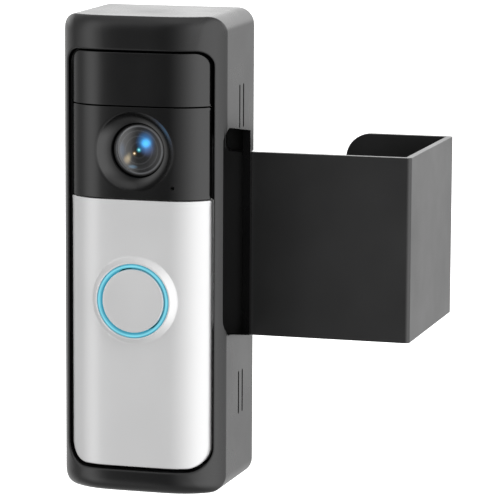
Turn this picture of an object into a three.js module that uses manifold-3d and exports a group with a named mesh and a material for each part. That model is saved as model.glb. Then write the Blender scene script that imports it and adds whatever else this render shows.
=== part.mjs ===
// A slim video doorbell in a protective housing, carried by a sheet-steel bracket that grips the edge of a door.
//
// Millimetres, +Z up. X runs across the door towards its edge, and +Y runs from the street side into the door.
// The origin is the middle of the arm pad's face, where the bracket bears on the outer face of the door.

import * as THREE from 'three';
import { mergeVertices } from 'three/addons/utils/BufferGeometryUtils.js';
import Module from 'manifold-3d';

const wasm = await Module();
wasm.setup();

// ---------------------------------------------------------------- driving dimensions

// Door bracket: one folded sheet, with a head behind the housing, an arm, an edge plate and an inner flange.
const SHEET = 2;
const ARM_LENGTH = 49.1;          // side of the housing to the outer face of the edge plate
const ARM_HEIGHT = 56;
const CHANNEL_DEPTH = 58.8;       // over the outer faces of arm and flange
const BEND_RADIUS = 1.4;          // outside of each fold
const FLANGE_REACH = 34.3;        // from the outer face of the edge plate
const FLANGE_CORNER = 8;
const NOTCH_HEIGHT = 12;          // relief cut above and below the arm, where it leaves the head
const NOTCH_WIDTH = 5.7;
const NOTCH_CORNER = 2;

// Rubber pads on every face that touches the door.
const PAD = 1.5;
const PAD_MARGIN = 2.5;
const PAD_CORNER = 2;

// Door clamp: two screws drive one pressure plate towards the inner face of the door.
const CLAMP_PLATE = 2.5;
const CLAMP_WIDTH = 22;
const CLAMP_HEIGHT = 34;
const CLAMP_CORNER = 4;
const CLAMP_PAD = 2;
const CLAMP_TRAVEL = 12;
const CLAMP_CLEARANCE = 0.5;      // pressure plate to flange when fully open
const CLAMP_SCREW_RADIUS = 2.5;
const CLAMP_SCREW_CLEARANCE = 0.1;
const CLAMP_SCREW_SPACING = 18;
const CLAMP_SCREW_RECESS = 1.4;   // blind hole in the plate that holds the screw's tip
const CLAMP_HEAD_RADIUS = 4.4;
const CLAMP_HEAD_HEIGHT = 4;
const NUT_ACROSS_FLATS = 8;
const NUT_HEIGHT = 4;

// Housing: an open-backed shell whose front follows the crown of the doorbell.
const HOUSING_SIDE = 3.7;          // housing beyond the doorbell on each side
const HOUSING_ABOVE = 10.8;        // housing beyond the doorbell at the top
const HOUSING_BELOW = 8.7;
const HOUSING_WALL = 2.4;
const HOUSING_CORNER = 5;
const MOUNT_DEPTH = 16;           // rear plane of the housing to the back of the doorbell
const HOUSING_COVER = 0.5;        // crown of the housing in front of the doorbell's
const HOUSING_CROWN = 0.2;
const HOUSING_SHOULDER = 14.5;    // width of the rounded shoulder on each side of the crowned middle
const HOUSING_EDGE_FALL = 11.04;  // how far the front has fallen where it meets the sides
const HOUSING_TOP_RUN = 5.4;      // height of the round between front and top, which ends in a crease
const HOUSING_TOP_ROUND = 6.7;
const HOUSING_BOTTOM_ROUND = 5;   // full fillet between front and bottom
const OPENING_GAP = 1;            // visible slot around the doorbell
const OPENING_TOP_GAP = 0.4;      // the same slot above it
const LIP_DEPTH = 1.2;
const LIP_GAP = 0.4;
const PORT_FRONT = 30.5;          // side port, measured forward from the rear plane
const PORT_RAIL = 3.9;            // where the rail behind the port starts
const PORT_RAIL_DEPTH = 1.6;
const PORT_ABOVE_FRONT = 10.6;     // port above the arm, at its front and at its rear
const PORT_ABOVE_REAR = 6.8;
const PORT_RISE_FRONT = 5.1;      // lower edge of the port above the lower edge of the arm
const PORT_RISE_REAR = 0.3;
const PORT_CORNER = 4.5;
const SLIT_WIDTH = 1.1;
const SLIT_LENGTH = 13.1;
const SLIT_PITCH = 4;
const SLIT_ABOVE = 15.2;          // middle of the slits above the arm
const SLIT_REAR = 11.7;           // rear slit of each pair, forward from the rear plane

// Fixing screws.
const BOSS_RADIUS = 2.7;
const BOSS_X = 14;
const BOSS_INSET = 4.8;           // boss axis below the housing's end face
const SCREW_RADIUS = 1.4;
const SCREW_CLEARANCE = 0.2;
const SCREW_HEAD_RADIUS = 2.3;
const SCREW_HEAD_HEIGHT = 1.1;
const SCREW_LENGTH = 9;
const SCREW_SIDES = 10;
const CASE_SCREW_RADIUS = 1.1;
const CASE_SCREW_HEAD = 2.1;

// Riser between the bracket's head and the doorbell, and the doorbell's own wall bracket.
const RISER_WIDTH = 26;
const RISER_HEIGHT = 92;
const RISER_WALL = 2;
const RISER_SCREW_Z = 38;
const RISER_BOSS = 4;
const WALL_BRACKET = 2;
const WALL_BRACKET_WIDTH = 25;
const WALL_BRACKET_INSET = 4.65;  // wall bracket inside the doorbell, at each end
const WALL_BRACKET_SCREW_Z = 30;
const FOOT_DEPTH = 10;
const FOOT_THICKNESS = 2;
const SEAT = 0.3;                 // gap between pieces that bear on each other

// Doorbell body.
const BODY_WIDTH = 42.8;
const BODY_HEIGHT = 123.3;
const BODY_DEPTH = 23.5;
const BODY_CROWN = 0.2;
const BODY_SHOULDER = 10.9;
const BODY_EDGE_FALL = 6.53;
const BODY_TOP_CORNER = 4;
const BODY_BOTTOM_CORNER = 6;
const SKIN = 1.6;
const SKIRT_BACK = 14.2;          // rear edge of the face pieces, forward from the body's back
const SEAM = 0.4;
const FACEPLATE_BELOW = 43.25;     // upper edge of the lower faceplate, below the body's top
const WINDOW_BELOW = 15.85;       // lower edge of the sensor window
const CASE_FRONT = 13.1;
const CASE_WALL = 1.6;
const CASE_TAPER = 0.9;           // width of the case's back as a share of its front
const CASE_INSET = 0.5;           // case inside the face pieces, each side
const FLANGE_OUT = 1.4;           // retaining flange beyond the case, each side
const FLANGE_THICKNESS = 1.2;
const GASKET = 0.7;

// Camera.
const LENS_BELOW = 29.1;          // lens axis below the body's top
const LENS_RADIUS = 7.35;
const LENS_FRONT = 19.2;          // front of the lens retainer, forward from the body's back
const RETAINER_WIDTH = 0.65;
const RETAINER_DEPTH = 1.2;
const BOWL_REACH = 3.7;           // rim of the bowl beyond the retainer
const BOWL_WALL = 1.1;
const CAMERA_BOARD = 20;
const CAMERA_BOARD_BACK = 7;
const BOARD = 1;
const SENSOR_CHIP = 9;
const BARREL_WALL = 1;

// Button and light ring.
const BUTTON_Z = -11.45;
const BUTTON_RADIUS = 9.45;
const BUTTON_TRAVEL = 0.8;
const BUTTON_PROUD = 1.9;         // front of the ring beyond the crown
const RING_GAP = 0.3;             // button to ring
const RING_WIDTH = 1.2;
const RING_BOSS_WIDTH = 2.05;
const RING_CLEARANCE = 0.25;
const STEM_RADIUS = 2.6;
const BUTTON_THICKNESS = 1.4;
const SWITCH_SIZE = 6;
const SWITCH_HEIGHT = 2.6;
const PLUNGER_RADIUS = 1.6;
const PLUNGER_PROUD = 0.75;
const LED_BOARD_FRONT = 16.5;
const LED_BOARD_MARGIN = 1.55;    // board beyond the ring
const LED_COUNT = 8;
const DOME_INSET = 0.55;          // dome inside the button
const DOME_WALL = 0.55;

// Other electronics.
const MIC_X = 11.5;
const MIC_ABOVE = 3.75;           // microphone above the lower faceplate
const MIC_HOLE = 0.55;
const MIC_GASKET_RADIUS = 2;
const BOARD_MARGIN_X = 4.4;        // main board and battery inside the body, each side
const BOARD_MARGIN_Z = 5.65;
const MAIN_BOARD_BACK = 3.8;
const POST_INSET_X = 7.1;         // screw posts inside the body
const POST_INSET_Z = 6.65;
const POST_RADIUS = 2.4;
const CHASSIS = 1.2;
const CHASSIS_FRONT = 15.3;
const BATTERY_ABOVE = 10.15;        // battery above the body's lower end
const BATTERY_BELOW = 4.05;         // battery below the processor's shield
const BATTERY_DEPTH = 6.8;
const SHIELD_WIDTH = 24;
const SHIELD_HEIGHT = 12;
const SHIELD_DEPTH = 1.6;
const SHIELD_GAP = 2;             // shield below the camera board
const SPEAKER_WIDTH = 16;
const SPEAKER_DEPTH = 8;
const SPEAKER_HEIGHT = 5;
const SPEAKER_X = -2.5;
const PORT_WIDTH = 9;
const PORT_HEIGHT = 3.4;
const PORT_Z = -40;
const PLUG_MARGIN = 1.5;
const ANTENNA_THICKNESS = 0.8;
const ANTENNA_HEIGHT = 6.4;
const PIR_RADIUS = 4.1;
const PIR_HEIGHT = 2.8;
const IR_RADIUS = 1.5;
const IR_X = 11;
const SENSOR_BELOW = 8.65;        // sensor board's axis below the body's top

// ---------------------------------------------------------------- places worked out from the sizes

const housingWidth = BODY_WIDTH + 2 * HOUSING_SIDE;
const housingHeight = BODY_HEIGHT + HOUSING_ABOVE + HOUSING_BELOW;
const housingDepth = MOUNT_DEPTH + BODY_DEPTH + HOUSING_COVER;
const bodyDrop = (HOUSING_ABOVE - HOUSING_BELOW) / 2;
const bodyTop = BODY_HEIGHT / 2;
const innerLength = ARM_LENGTH - SHEET;
const edgeX = innerLength / 2 + SHEET;
const housingX = -innerLength / 2 - housingWidth / 2;
const armBackY = -PAD;
const armFrontY = armBackY - SHEET;
const flangeBackY = armFrontY + CHANNEL_DEPTH;
const flangeFrontY = flangeBackY - SHEET;
const armTop = ARM_HEIGHT / 2;
const headWidth = housingWidth - 2 * HOUSING_WALL - 2 * SEAT;
const headHeight = housingHeight - 2 * HOUSING_WALL - 2 * SEAT;
const bossZ = housingHeight / 2 - BOSS_INSET;
const clampX = edgeX - FLANGE_REACH / 2;
const clampBackY = flangeFrontY - CLAMP_CLEARANCE;
const clampFrontY = clampBackY - CLAMP_PLATE;
const clampScrewZ = CLAMP_SCREW_SPACING / 2;
const bodyBackY = armBackY - MOUNT_DEPTH;
const portTopFront = armTop + PORT_ABOVE_FRONT;
const portTopRear = armTop + PORT_ABOVE_REAR;
const portBottomFront = PORT_RISE_FRONT - armTop;
const portBottomRear = PORT_RISE_REAR - armTop;
const slitCentre = armTop + SLIT_ABOVE;
const wallBracketHeight = BODY_HEIGHT - 2 * WALL_BRACKET_INSET;
const faceplateTop = bodyTop - FACEPLATE_BELOW;
const windowBottom = bodyTop - WINDOW_BELOW;
const lensZ = bodyTop - LENS_BELOW;
const micZ = faceplateTop + MIC_ABOVE;
const sensorZ = bodyTop - SENSOR_BELOW;
const retainerRadius = LENS_RADIUS + RETAINER_WIDTH;
const bowlRadius = retainerRadius + BOWL_REACH;
const ringInner = BUTTON_RADIUS + RING_GAP;
const ringOuter = ringInner + RING_WIDTH;
const ringBoss = ringOuter + RING_BOSS_WIDTH;
const ledBoardRadius = ringOuter + LED_BOARD_MARGIN;
const domeRadius = BUTTON_RADIUS - DOME_INSET;
const boardWidth = BODY_WIDTH - 2 * BOARD_MARGIN_X;
const boardHeight = BODY_HEIGHT - 2 * BOARD_MARGIN_Z;
const postX = BODY_WIDTH / 2 - POST_INSET_X;
const postZ = bodyTop - POST_INSET_Z;
const shieldZ = lensZ - CAMERA_BOARD / 2 - SHIELD_HEIGHT / 2 - SHIELD_GAP;
const batteryTop = shieldZ - SHIELD_HEIGHT / 2 - BATTERY_BELOW;
const batteryBottom = BATTERY_ABOVE - bodyTop;
const caseHalfWidth = BODY_WIDTH / 2 - CASE_INSET;
const caseHalfHeight = BODY_HEIGHT / 2 - CASE_INSET;
const ringFront = BODY_DEPTH + BUTTON_PROUD;
const boardFront = MAIN_BOARD_BACK + BOARD;
const housingFront = {
  halfWidth: housingWidth / 2,
  flat: housingWidth / 2 - HOUSING_SHOULDER,
  crown: HOUSING_CROWN,
  edgeFall: HOUSING_EDGE_FALL,
};
const bodyFront = {
  halfWidth: BODY_WIDTH / 2,
  flat: BODY_WIDTH / 2 - BODY_SHOULDER,
  crown: BODY_CROWN,
  edgeFall: BODY_EDGE_FALL,
};
const screwHole = SCREW_RADIUS + SCREW_CLEARANCE;
const levels = [['upper', 1], ['lower', -1]];
const sides = [['right', 1], ['left', -1]];
const corners = levels.flatMap(([level, up]) => sides.map(([side, across]) => [`${level}_${side}`, across, up]));

// ---------------------------------------------------------------- finishes

const finish = (color, roughness, metalness) => new THREE.MeshStandardMaterial({ color, roughness, metalness });
const FINISH = {
  blackPlastic: finish(0x1c1c1c, 0.45, 0),
  darkPlastic: finish(0x101010, 0.7, 0),
  glossBlack: finish(0x0c0c0c, 0.12, 0),
  paintedSteel: finish(0x262626, 0.5, 0.3),
  zinc: finish(0xb4b4b0, 0.35, 1),
  nickel: finish(0xc9c9c9, 0.38, 0.8),
  rubber: finish(0x141414, 0.9, 0),
  silicone: finish(0xd8d8d0, 0.7, 0),
  lightGuide: finish(0x62cfe0, 0.3, 0),
  glass: finish(0x1a3a66, 0.03, 0),
  board: finish(0x14502c, 0.6, 0),
  chip: finish(0x1a1a1c, 0.5, 0),
  cell: finish(0x3f6fa8, 0.4, 0),
  copper: finish(0xb87333, 0.4, 0.9),
};

// ---------------------------------------------------------------- geometry helpers

// Fall of a crowned front at a distance from its middle line: a quartic crown, then an arc that carries on its
// slope and ends at the given fall at the edge. An inset gives the parallel surface that far behind.
function frontFall(distance, front, inset) {
  const { crown, flat, halfWidth, edgeFall } = front;
  if (distance <= flat) {
    return crown * (distance / flat) ** 4 + inset;
  }
  const slope = Math.atan((4 * crown) / flat);
  const run = halfWidth - flat;
  const rise = edgeFall - crown;
  const radius = (run * run + rise * rise) / (2 * (rise * Math.cos(slope) - run * Math.sin(slope)));
  const reach = distance - flat + radius * Math.sin(slope);
  const inner = radius - inset;
  return crown + radius * Math.cos(slope) - Math.sqrt(inner * inner - reach * reach);
}

// A closed three.js geometry as a solid that can be joined and cut.
function solid(geometry) {
  const bare = geometry.clone();
  bare.deleteAttribute('normal');
  bare.deleteAttribute('uv');
  const merged = mergeVertices(bare, 1e-5);
  const mesh = new wasm.Mesh({
    numProp: 3,
    vertProperties: new Float32Array(merged.attributes.position.array),
    triVerts: new Uint32Array(merged.index.array),
  });
  mesh.merge();
  return new wasm.Manifold(mesh);
}

// A solid back as a three.js geometry.
function geometryOf(body) {
  const mesh = body.getMesh();
  const geometry = new THREE.BufferGeometry();
  const points = [];
  for (let i = 0; i < mesh.vertProperties.length; i += mesh.numProp) {
    points.push(mesh.vertProperties[i], mesh.vertProperties[i + 1], mesh.vertProperties[i + 2]);
  }
  geometry.setAttribute('position', new THREE.Float32BufferAttribute(points, 3));
  geometry.setIndex(Array.from(mesh.triVerts));
  geometry.computeVertexNormals();
  return geometry;
}

// Rectangle about a centre, its corners rounded; upper and lower corners may differ.
function roundedRect(cx, cy, width, height, upper, lower = upper) {
  const [l, r, b, t] = [cx - width / 2, cx + width / 2, cy - height / 2, cy + height / 2];
  const shape = new THREE.Shape();
  shape.moveTo(l + lower, b);
  shape.lineTo(r - lower, b);
  shape.absarc(r - lower, b + lower, lower, -Math.PI / 2, 0);
  shape.lineTo(r, t - upper);
  shape.absarc(r - upper, t - upper, upper, 0, Math.PI / 2);
  shape.lineTo(l + upper, t);
  shape.absarc(l + upper, t - upper, upper, Math.PI / 2, Math.PI);
  shape.lineTo(l, b + lower);
  shape.absarc(l + lower, b + lower, lower, Math.PI, Math.PI * 1.5);
  return shape;
}

function circle(x, y, radius, Kind = THREE.Shape) {
  const outline = new Kind();
  outline.absarc(x, y, radius, 0, Math.PI * 2);
  return outline;
}

function hexagon(x, y, acrossFlats) {
  const shape = new THREE.Shape();
  for (let i = 0; i < 6; i++) {
    const angle = (i * Math.PI) / 3;
    const corner = acrossFlats / Math.sqrt(3);
    const method = i ? 'lineTo' : 'moveTo';
    shape[method](x + corner * Math.cos(angle), y + corner * Math.sin(angle));
  }
  shape.closePath();
  return shape;
}

const extrude = (shape, depth, curveSegments) =>
  new THREE.ExtrudeGeometry(shape, { depth, bevelEnabled: false, curveSegments });

// A plan outline (x, y) raised from one level to another.
function extrudeZ(shape, z0, z1, segments = 6) {
  return extrude(shape, z1 - z0, segments).translate(0, 0, z0);
}

// A front outline (x, z) carried back from y0 to y1.
function extrudeY(shape, y0, y1, segments = 4) {
  return extrude(shape, y1 - y0, segments).rotateX(Math.PI / 2).translate(0, y1, 0);
}

// A side outline (y, z) carried across from x0 to x1.
function extrudeX(shape, x0, x1, segments = 6) {
  const turn = new THREE.Matrix4().set(0, 0, 1, 0, 1, 0, 0, 0, 0, 1, 0, 0, 0, 0, 0, 1);
  return extrude(shape, x1 - x0, segments).applyMatrix4(turn).translate(x0, 0, 0);
}

function box(x0, x1, y0, y1, z0, z1) {
  const geometry = new THREE.BoxGeometry(x1 - x0, y1 - y0, z1 - z0);
  return geometry.translate((x0 + x1) / 2, (y0 + y1) / 2, (z0 + z1) / 2);
}

// A turned piece about an axis along Y: profile points are (radius, y), from the front, outwards and to the back.
function turned(profile, x, z, segments = 24) {
  const points = profile.map(([radius, y]) => new THREE.Vector2(radius, y));
  return new THREE.LatheGeometry(points, segments).translate(x, 0, z);
}

const rod = (x, z, radius, y0, y1, segments = 16) =>
  turned([[0, y0], [radius, y0], [radius, y1], [0, y1]], x, z, segments);

function ringPiece(x, z, inner, outer, y0, y1, segments = 24) {
  return turned([[inner, y0], [outer, y0], [outer, y1], [inner, y1], [inner, y0]], x, z, segments);
}

// Narrows a piece evenly from its full size at frontY to the given share at backY.
function taper(geometry, frontY, backY, share) {
  const position = geometry.attributes.position;
  for (let i = 0; i < position.count; i++) {
    const t = (position.getY(i) - frontY) / (backY - frontY);
    const scale = 1 - (1 - share) * t;
    position.setX(i, position.getX(i) * scale);
  }
  return geometry;
}

const cut = (body, ...tools) => tools.reduce((left, tool) => left.subtract(solid(tool)), body);
const join = (body, ...more) => more.reduce((left, piece) => left.add(solid(piece)), body);

// Adds one named piece to a group, from a geometry or a solid.
function piece(group, name, shape, material) {
  const geometry = shape.isBufferGeometry ? shape : geometryOf(shape);
  const mesh = new THREE.Mesh(geometry, material);
  mesh.name = name;
  group.add(mesh);
}

// Countersunk or pan-headed screw along Y, its head at the back; head is at headY and the shank runs forward.
function screwAlongY(x, z, headY, length, radius, headRadius, headHeight, forward = true) {
  const sign = forward ? -1 : 1;
  const neck = headY + sign * headHeight;
  const tip = neck + sign * length;
  const profile = [[0, headY], [headRadius, headY], [headRadius, neck], [radius, neck], [radius, tip], [0, tip]];
  return turned(forward ? profile.reverse() : profile, x, z, SCREW_SIDES);
}

// ---------------------------------------------------------------- door bracket

function bracketPieces(group) {
  const armStart = housingX;
  const inner = Math.max(BEND_RADIUS - SHEET, 0.2);
  const channel = new THREE.Shape();
  channel.moveTo(armStart, armFrontY);
  channel.lineTo(edgeX - BEND_RADIUS, armFrontY);
  channel.absarc(edgeX - BEND_RADIUS, armFrontY + BEND_RADIUS, BEND_RADIUS, -Math.PI / 2, 0);
  channel.lineTo(edgeX, flangeBackY - BEND_RADIUS);
  channel.absarc(edgeX - BEND_RADIUS, flangeBackY - BEND_RADIUS, BEND_RADIUS, 0, Math.PI / 2);
  channel.lineTo(edgeX - FLANGE_REACH, flangeBackY);
  channel.lineTo(edgeX - FLANGE_REACH, flangeFrontY);
  channel.lineTo(edgeX - SHEET - inner, flangeFrontY);
  channel.absarc(edgeX - SHEET - inner, flangeFrontY - inner, inner, Math.PI / 2, 0, true);
  channel.lineTo(edgeX - SHEET, armBackY + inner);
  channel.absarc(edgeX - SHEET - inner, armBackY + inner, inner, 0, -Math.PI / 2, true);
  channel.lineTo(armStart, armBackY);
  const folded = solid(extrudeZ(channel, -armTop, armTop, 4));

  const flangeOutline = roundedRect(edgeX - FLANGE_REACH / 2, 0, FLANGE_REACH, ARM_HEIGHT, FLANGE_CORNER);
  const flangeArea = extrudeY(flangeOutline, flangeFrontY - 1, flangeBackY + 1, 7);
  const edgeArea = box(edgeX - FLANGE_CORNER - 1, edgeX + 1, flangeFrontY - 1, flangeBackY + 1, -armTop, armTop);
  const frontArea = box(armStart, edgeX + 1, armFrontY - 1, flangeFrontY - 1, -armTop, armTop);
  const kept = join(solid(frontArea), flangeArea, edgeArea);

  const headOutline = roundedRect(housingX, 0, headWidth, headHeight, HOUSING_CORNER - HOUSING_WALL);
  const head = solid(extrudeY(headOutline, armFrontY, armBackY, 4));
  const notchLeft = housingX + headWidth / 2 - NOTCH_WIDTH;
  const notchWidth = NOTCH_WIDTH * 2;
  const notches = [1, -1].map((side) => {
    const centre = side * (armTop + NOTCH_HEIGHT / 2);
    const outline = roundedRect(notchLeft + notchWidth / 2, centre, notchWidth, NOTCH_HEIGHT, NOTCH_CORNER);
    return extrudeY(outline, armFrontY - 1, armBackY + 1, 4);
  });
  const headHole = (x, z) => rod(x, z, screwHole, armFrontY - 1, armBackY + 1, SCREW_SIDES);
  const screwHoles = corners.map(([, across, up]) => headHole(housingX + across * BOSS_X, up * bossZ));
  const clampHole = CLAMP_SCREW_RADIUS + CLAMP_SCREW_CLEARANCE + SEAT;
  for (const [, side] of levels) {
    screwHoles.push(headHole(housingX, side * RISER_SCREW_Z - bodyDrop));
    screwHoles.push(rod(clampX, side * clampScrewZ, clampHole, flangeFrontY - 1, flangeBackY + 1));
  }
  const bracket = cut(cut(head, ...notches).add(folded.intersect(kept)), ...screwHoles);
  piece(group, 'door_bracket', bracket, FINISH.paintedSteel);

  const padWidth = innerLength - 2 * PAD_MARGIN;
  const padHeight = ARM_HEIGHT - 2 * PAD_MARGIN;
  piece(group, 'arm_door_pad', extrudeY(roundedRect(0, 0, padWidth, padHeight, PAD_CORNER), armBackY, 0, 4),
    FINISH.rubber);

  const headPadHeight = 2 * (bossZ - SCREW_HEAD_RADIUS - PAD_MARGIN);
  const headPad = solid(extrudeY(roundedRect(housingX, 0, headWidth, headPadHeight, PAD_CORNER), armBackY, 0, 4));
  const headPadHoles = levels.map(([, side]) =>
    rod(housingX, side * RISER_SCREW_Z - bodyDrop, SCREW_HEAD_RADIUS + SEAT, armBackY - 1, 1, SCREW_SIDES),
  );
  piece(group, 'head_door_pad', cut(headPad, ...headPadHoles), FINISH.rubber);

  const edgePadDepth = CHANNEL_DEPTH - 2 * SHEET - 2 * PAD_MARGIN;
  const edgePadOutline = roundedRect((armBackY + flangeFrontY) / 2, 0, edgePadDepth, padHeight, PAD_CORNER);
  piece(group, 'edge_door_pad', extrudeX(edgePadOutline, edgeX - SHEET - PAD, edgeX - SHEET, 4), FINISH.rubber);

  for (const [name, side] of levels) {
    const outline = hexagon(clampX, side * clampScrewZ, NUT_ACROSS_FLATS);
    outline.holes.push(circle(clampX, side * clampScrewZ, CLAMP_SCREW_RADIUS + CLAMP_SCREW_CLEARANCE, THREE.Path));
    piece(group, `clamp_nut_${name}`, extrudeY(outline, flangeBackY, flangeBackY + NUT_HEIGHT, 24), FINISH.zinc);
  }
}

// ---------------------------------------------------------------- door clamp

function clampPieces(group) {
  const plateOutline = roundedRect(clampX, 0, CLAMP_WIDTH, CLAMP_HEIGHT, CLAMP_CORNER);
  const sockets = [1, -1].map((side) =>
    rod(clampX, side * clampScrewZ, CLAMP_SCREW_RADIUS + SEAT, clampBackY - CLAMP_SCREW_RECESS, clampBackY + 1),
  );
  piece(group, 'clamp_plate', cut(solid(extrudeY(plateOutline, clampFrontY, clampBackY, 5)), ...sockets),
    FINISH.paintedSteel);
  piece(group, 'clamp_pad', extrudeY(plateOutline, clampFrontY - CLAMP_PAD, clampFrontY, 5), FINISH.rubber);

  const tip = clampBackY - CLAMP_SCREW_RECESS + SEAT;
  const neck = flangeBackY + NUT_HEIGHT + CLAMP_TRAVEL + 1;
  const headEnd = neck + CLAMP_HEAD_HEIGHT;
  for (const [name, side] of levels) {
    const z = side * clampScrewZ;
    const shaft = turned(
      [[0, tip], [CLAMP_SCREW_RADIUS - 0.5, tip], [CLAMP_SCREW_RADIUS, tip + 0.5], [CLAMP_SCREW_RADIUS, neck],
        [CLAMP_HEAD_RADIUS, neck], [CLAMP_HEAD_RADIUS, headEnd - 0.4], [CLAMP_HEAD_RADIUS - 0.4, headEnd],
        [0, headEnd]],
      clampX, z, 24,
    );
    const socket = extrudeY(hexagon(clampX, z, CLAMP_SCREW_RADIUS * 1.6), headEnd - 2.2, headEnd + 1, 4);
    piece(group, `clamp_screw_${name}`, cut(solid(shaft), socket), FINISH.zinc);
  }
}

// ---------------------------------------------------------------- housing

// Plan outline of a crowned front with round shoulders, from the rear edge forward; y runs from the rear plane.
function crownedPlan(front, depth, rearY, inset) {
  const shape = new THREE.Shape();
  const reach = front.halfWidth - inset;
  const level = (x) => -depth + frontFall(Math.abs(x), front, inset);
  const steps = 6;
  const across = [0, front.flat * 0.6, front.flat];
  for (let i = 1; i <= steps; i++) {
    across.push(front.flat + (reach - front.flat) * Math.sin((i / steps) * Math.PI * 0.5));
  }
  shape.moveTo(-reach, rearY);
  shape.lineTo(reach, rearY);
  for (const x of [...across].reverse()) {
    shape.lineTo(x, level(x));
  }
  for (const x of across.slice(1)) {
    shape.lineTo(-x, level(x));
  }
  return shape;
}

// The housing's block: crowned plan, round corners seen from the front, a creased round at the top of the front
// and a full fillet at its bottom.
function crownedBlock(front, inset, rearY) {
  const top = housingHeight / 2 - inset;
  const plan = solid(extrudeZ(crownedPlan(front, housingDepth, rearY, inset), -top, top));
  const outline = roundedRect(0, 0, housingWidth - 2 * inset, 2 * top, HOUSING_CORNER - inset);
  const nose = -housingDepth + inset;
  const upper = HOUSING_TOP_ROUND - inset;
  const crease = Math.asin((HOUSING_TOP_RUN - inset) / upper);
  const lower = HOUSING_BOTTOM_ROUND - inset;
  const side = new THREE.Shape();
  side.moveTo(rearY, -top);
  side.lineTo(rearY, top);
  side.lineTo(nose + upper * (1 - Math.cos(crease)), top);
  side.absarc(nose + upper, housingHeight / 2 - HOUSING_TOP_RUN, upper, Math.PI - crease, Math.PI);
  side.lineTo(nose, -top + lower);
  side.absarc(nose + lower, -top + lower, lower, Math.PI, Math.PI * 1.5);
  return plan.intersect(solid(extrudeY(outline, -housingDepth - 1, rearY, 5)))
    .intersect(solid(extrudeX(side, -housingWidth, housingWidth, 5)));
}

function housingPieces(group) {
  const outer = crownedBlock(housingFront, 0, 0);
  const lipFront = MOUNT_DEPTH + CASE_FRONT + FLANGE_THICKNESS + SEAT;
  const lipBack = lipFront - LIP_DEPTH;
  const wall = HOUSING_WALL;
  const cavity = crownedBlock(housingFront, wall, 1).intersect(
    solid(box(-housingWidth, housingWidth, -lipBack, 2, -housingHeight, housingHeight)),
  );
  const openingRect = (gap, above) => roundedRect(0, (above - gap) / 2 - bodyDrop, BODY_WIDTH + 2 * gap,
    BODY_HEIGHT + gap + above, BODY_TOP_CORNER + above, BODY_BOTTOM_CORNER + gap);
  const opening = extrudeY(openingRect(OPENING_GAP, OPENING_TOP_GAP), -housingDepth - 1, -lipFront, 5);
  const lipHole = extrudeY(openingRect(LIP_GAP, LIP_GAP), -housingDepth - 1, -lipBack + 1, 5);
  let shell = cut(outer.subtract(cavity), opening, lipHole);

  const bosses = [];
  const bossHoles = [];
  for (const [, across, up] of corners) {
    const [x, z] = [across * BOSS_X, up * bossZ];
    bosses.push(rod(x, z, BOSS_RADIUS, -lipBack - 0.5, -SHEET - SEAT, 12));
    bossHoles.push(rod(x, z, screwHole, -SHEET - SCREW_LENGTH - 1, 1, SCREW_SIDES));
  }
  shell = cut(join(shell, ...bosses), ...bossHoles);

  const port = new THREE.Shape();
  const portFront = -PORT_FRONT;
  const portRear = -PORT_RAIL;
  const slope = (t, front, rear) => front + (rear - front) * t;
  const cornerShare = PORT_CORNER / (PORT_FRONT - PORT_RAIL);
  port.moveTo(portRear, portBottomRear);
  port.lineTo(portRear, portTopRear);
  port.lineTo(portFront + PORT_CORNER, slope(cornerShare, portTopFront, portTopRear));
  port.quadraticCurveTo(portFront, portTopFront, portFront, portTopFront - PORT_CORNER);
  port.lineTo(portFront, portBottomFront + PORT_CORNER);
  port.quadraticCurveTo(portFront, portBottomFront, portFront + PORT_CORNER,
    slope(cornerShare, portBottomFront, portBottomRear));
  const wallOuter = housingWidth / 2 + 1;
  const wallInner = housingWidth / 2 - wall - 1;
  const sidePort = extrudeX(port, wallInner, wallOuter, 5);
  const notch = box(wallInner, wallOuter, -SHEET - SEAT, 1, -armTop - SEAT, armTop + SEAT);

  const slits = [];
  for (const side of [1, -1]) {
    for (const z of [slitCentre, -slitCentre]) {
      for (const y of [-SLIT_REAR, -SLIT_REAR - SLIT_PITCH]) {
        const outline = roundedRect(y, z, SLIT_WIDTH, SLIT_LENGTH, SLIT_WIDTH * 0.45);
        const from = side > 0 ? wallInner : -wallOuter;
        slits.push(extrudeX(outline, from, from + wallOuter - wallInner, 2));
      }
    }
  }
  piece(group, 'housing', cut(shell, sidePort, notch, ...slits), FINISH.blackPlastic);

  for (const [name, across, up] of corners) {
    const screw = screwAlongY(across * BOSS_X, up * bossZ, SCREW_HEAD_HEIGHT, SCREW_LENGTH, SCREW_RADIUS,
      SCREW_HEAD_RADIUS, SCREW_HEAD_HEIGHT);
    piece(group, `housing_screw_${name}`, screw, FINISH.zinc);
  }
}

// ---------------------------------------------------------------- riser and wall bracket

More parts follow.
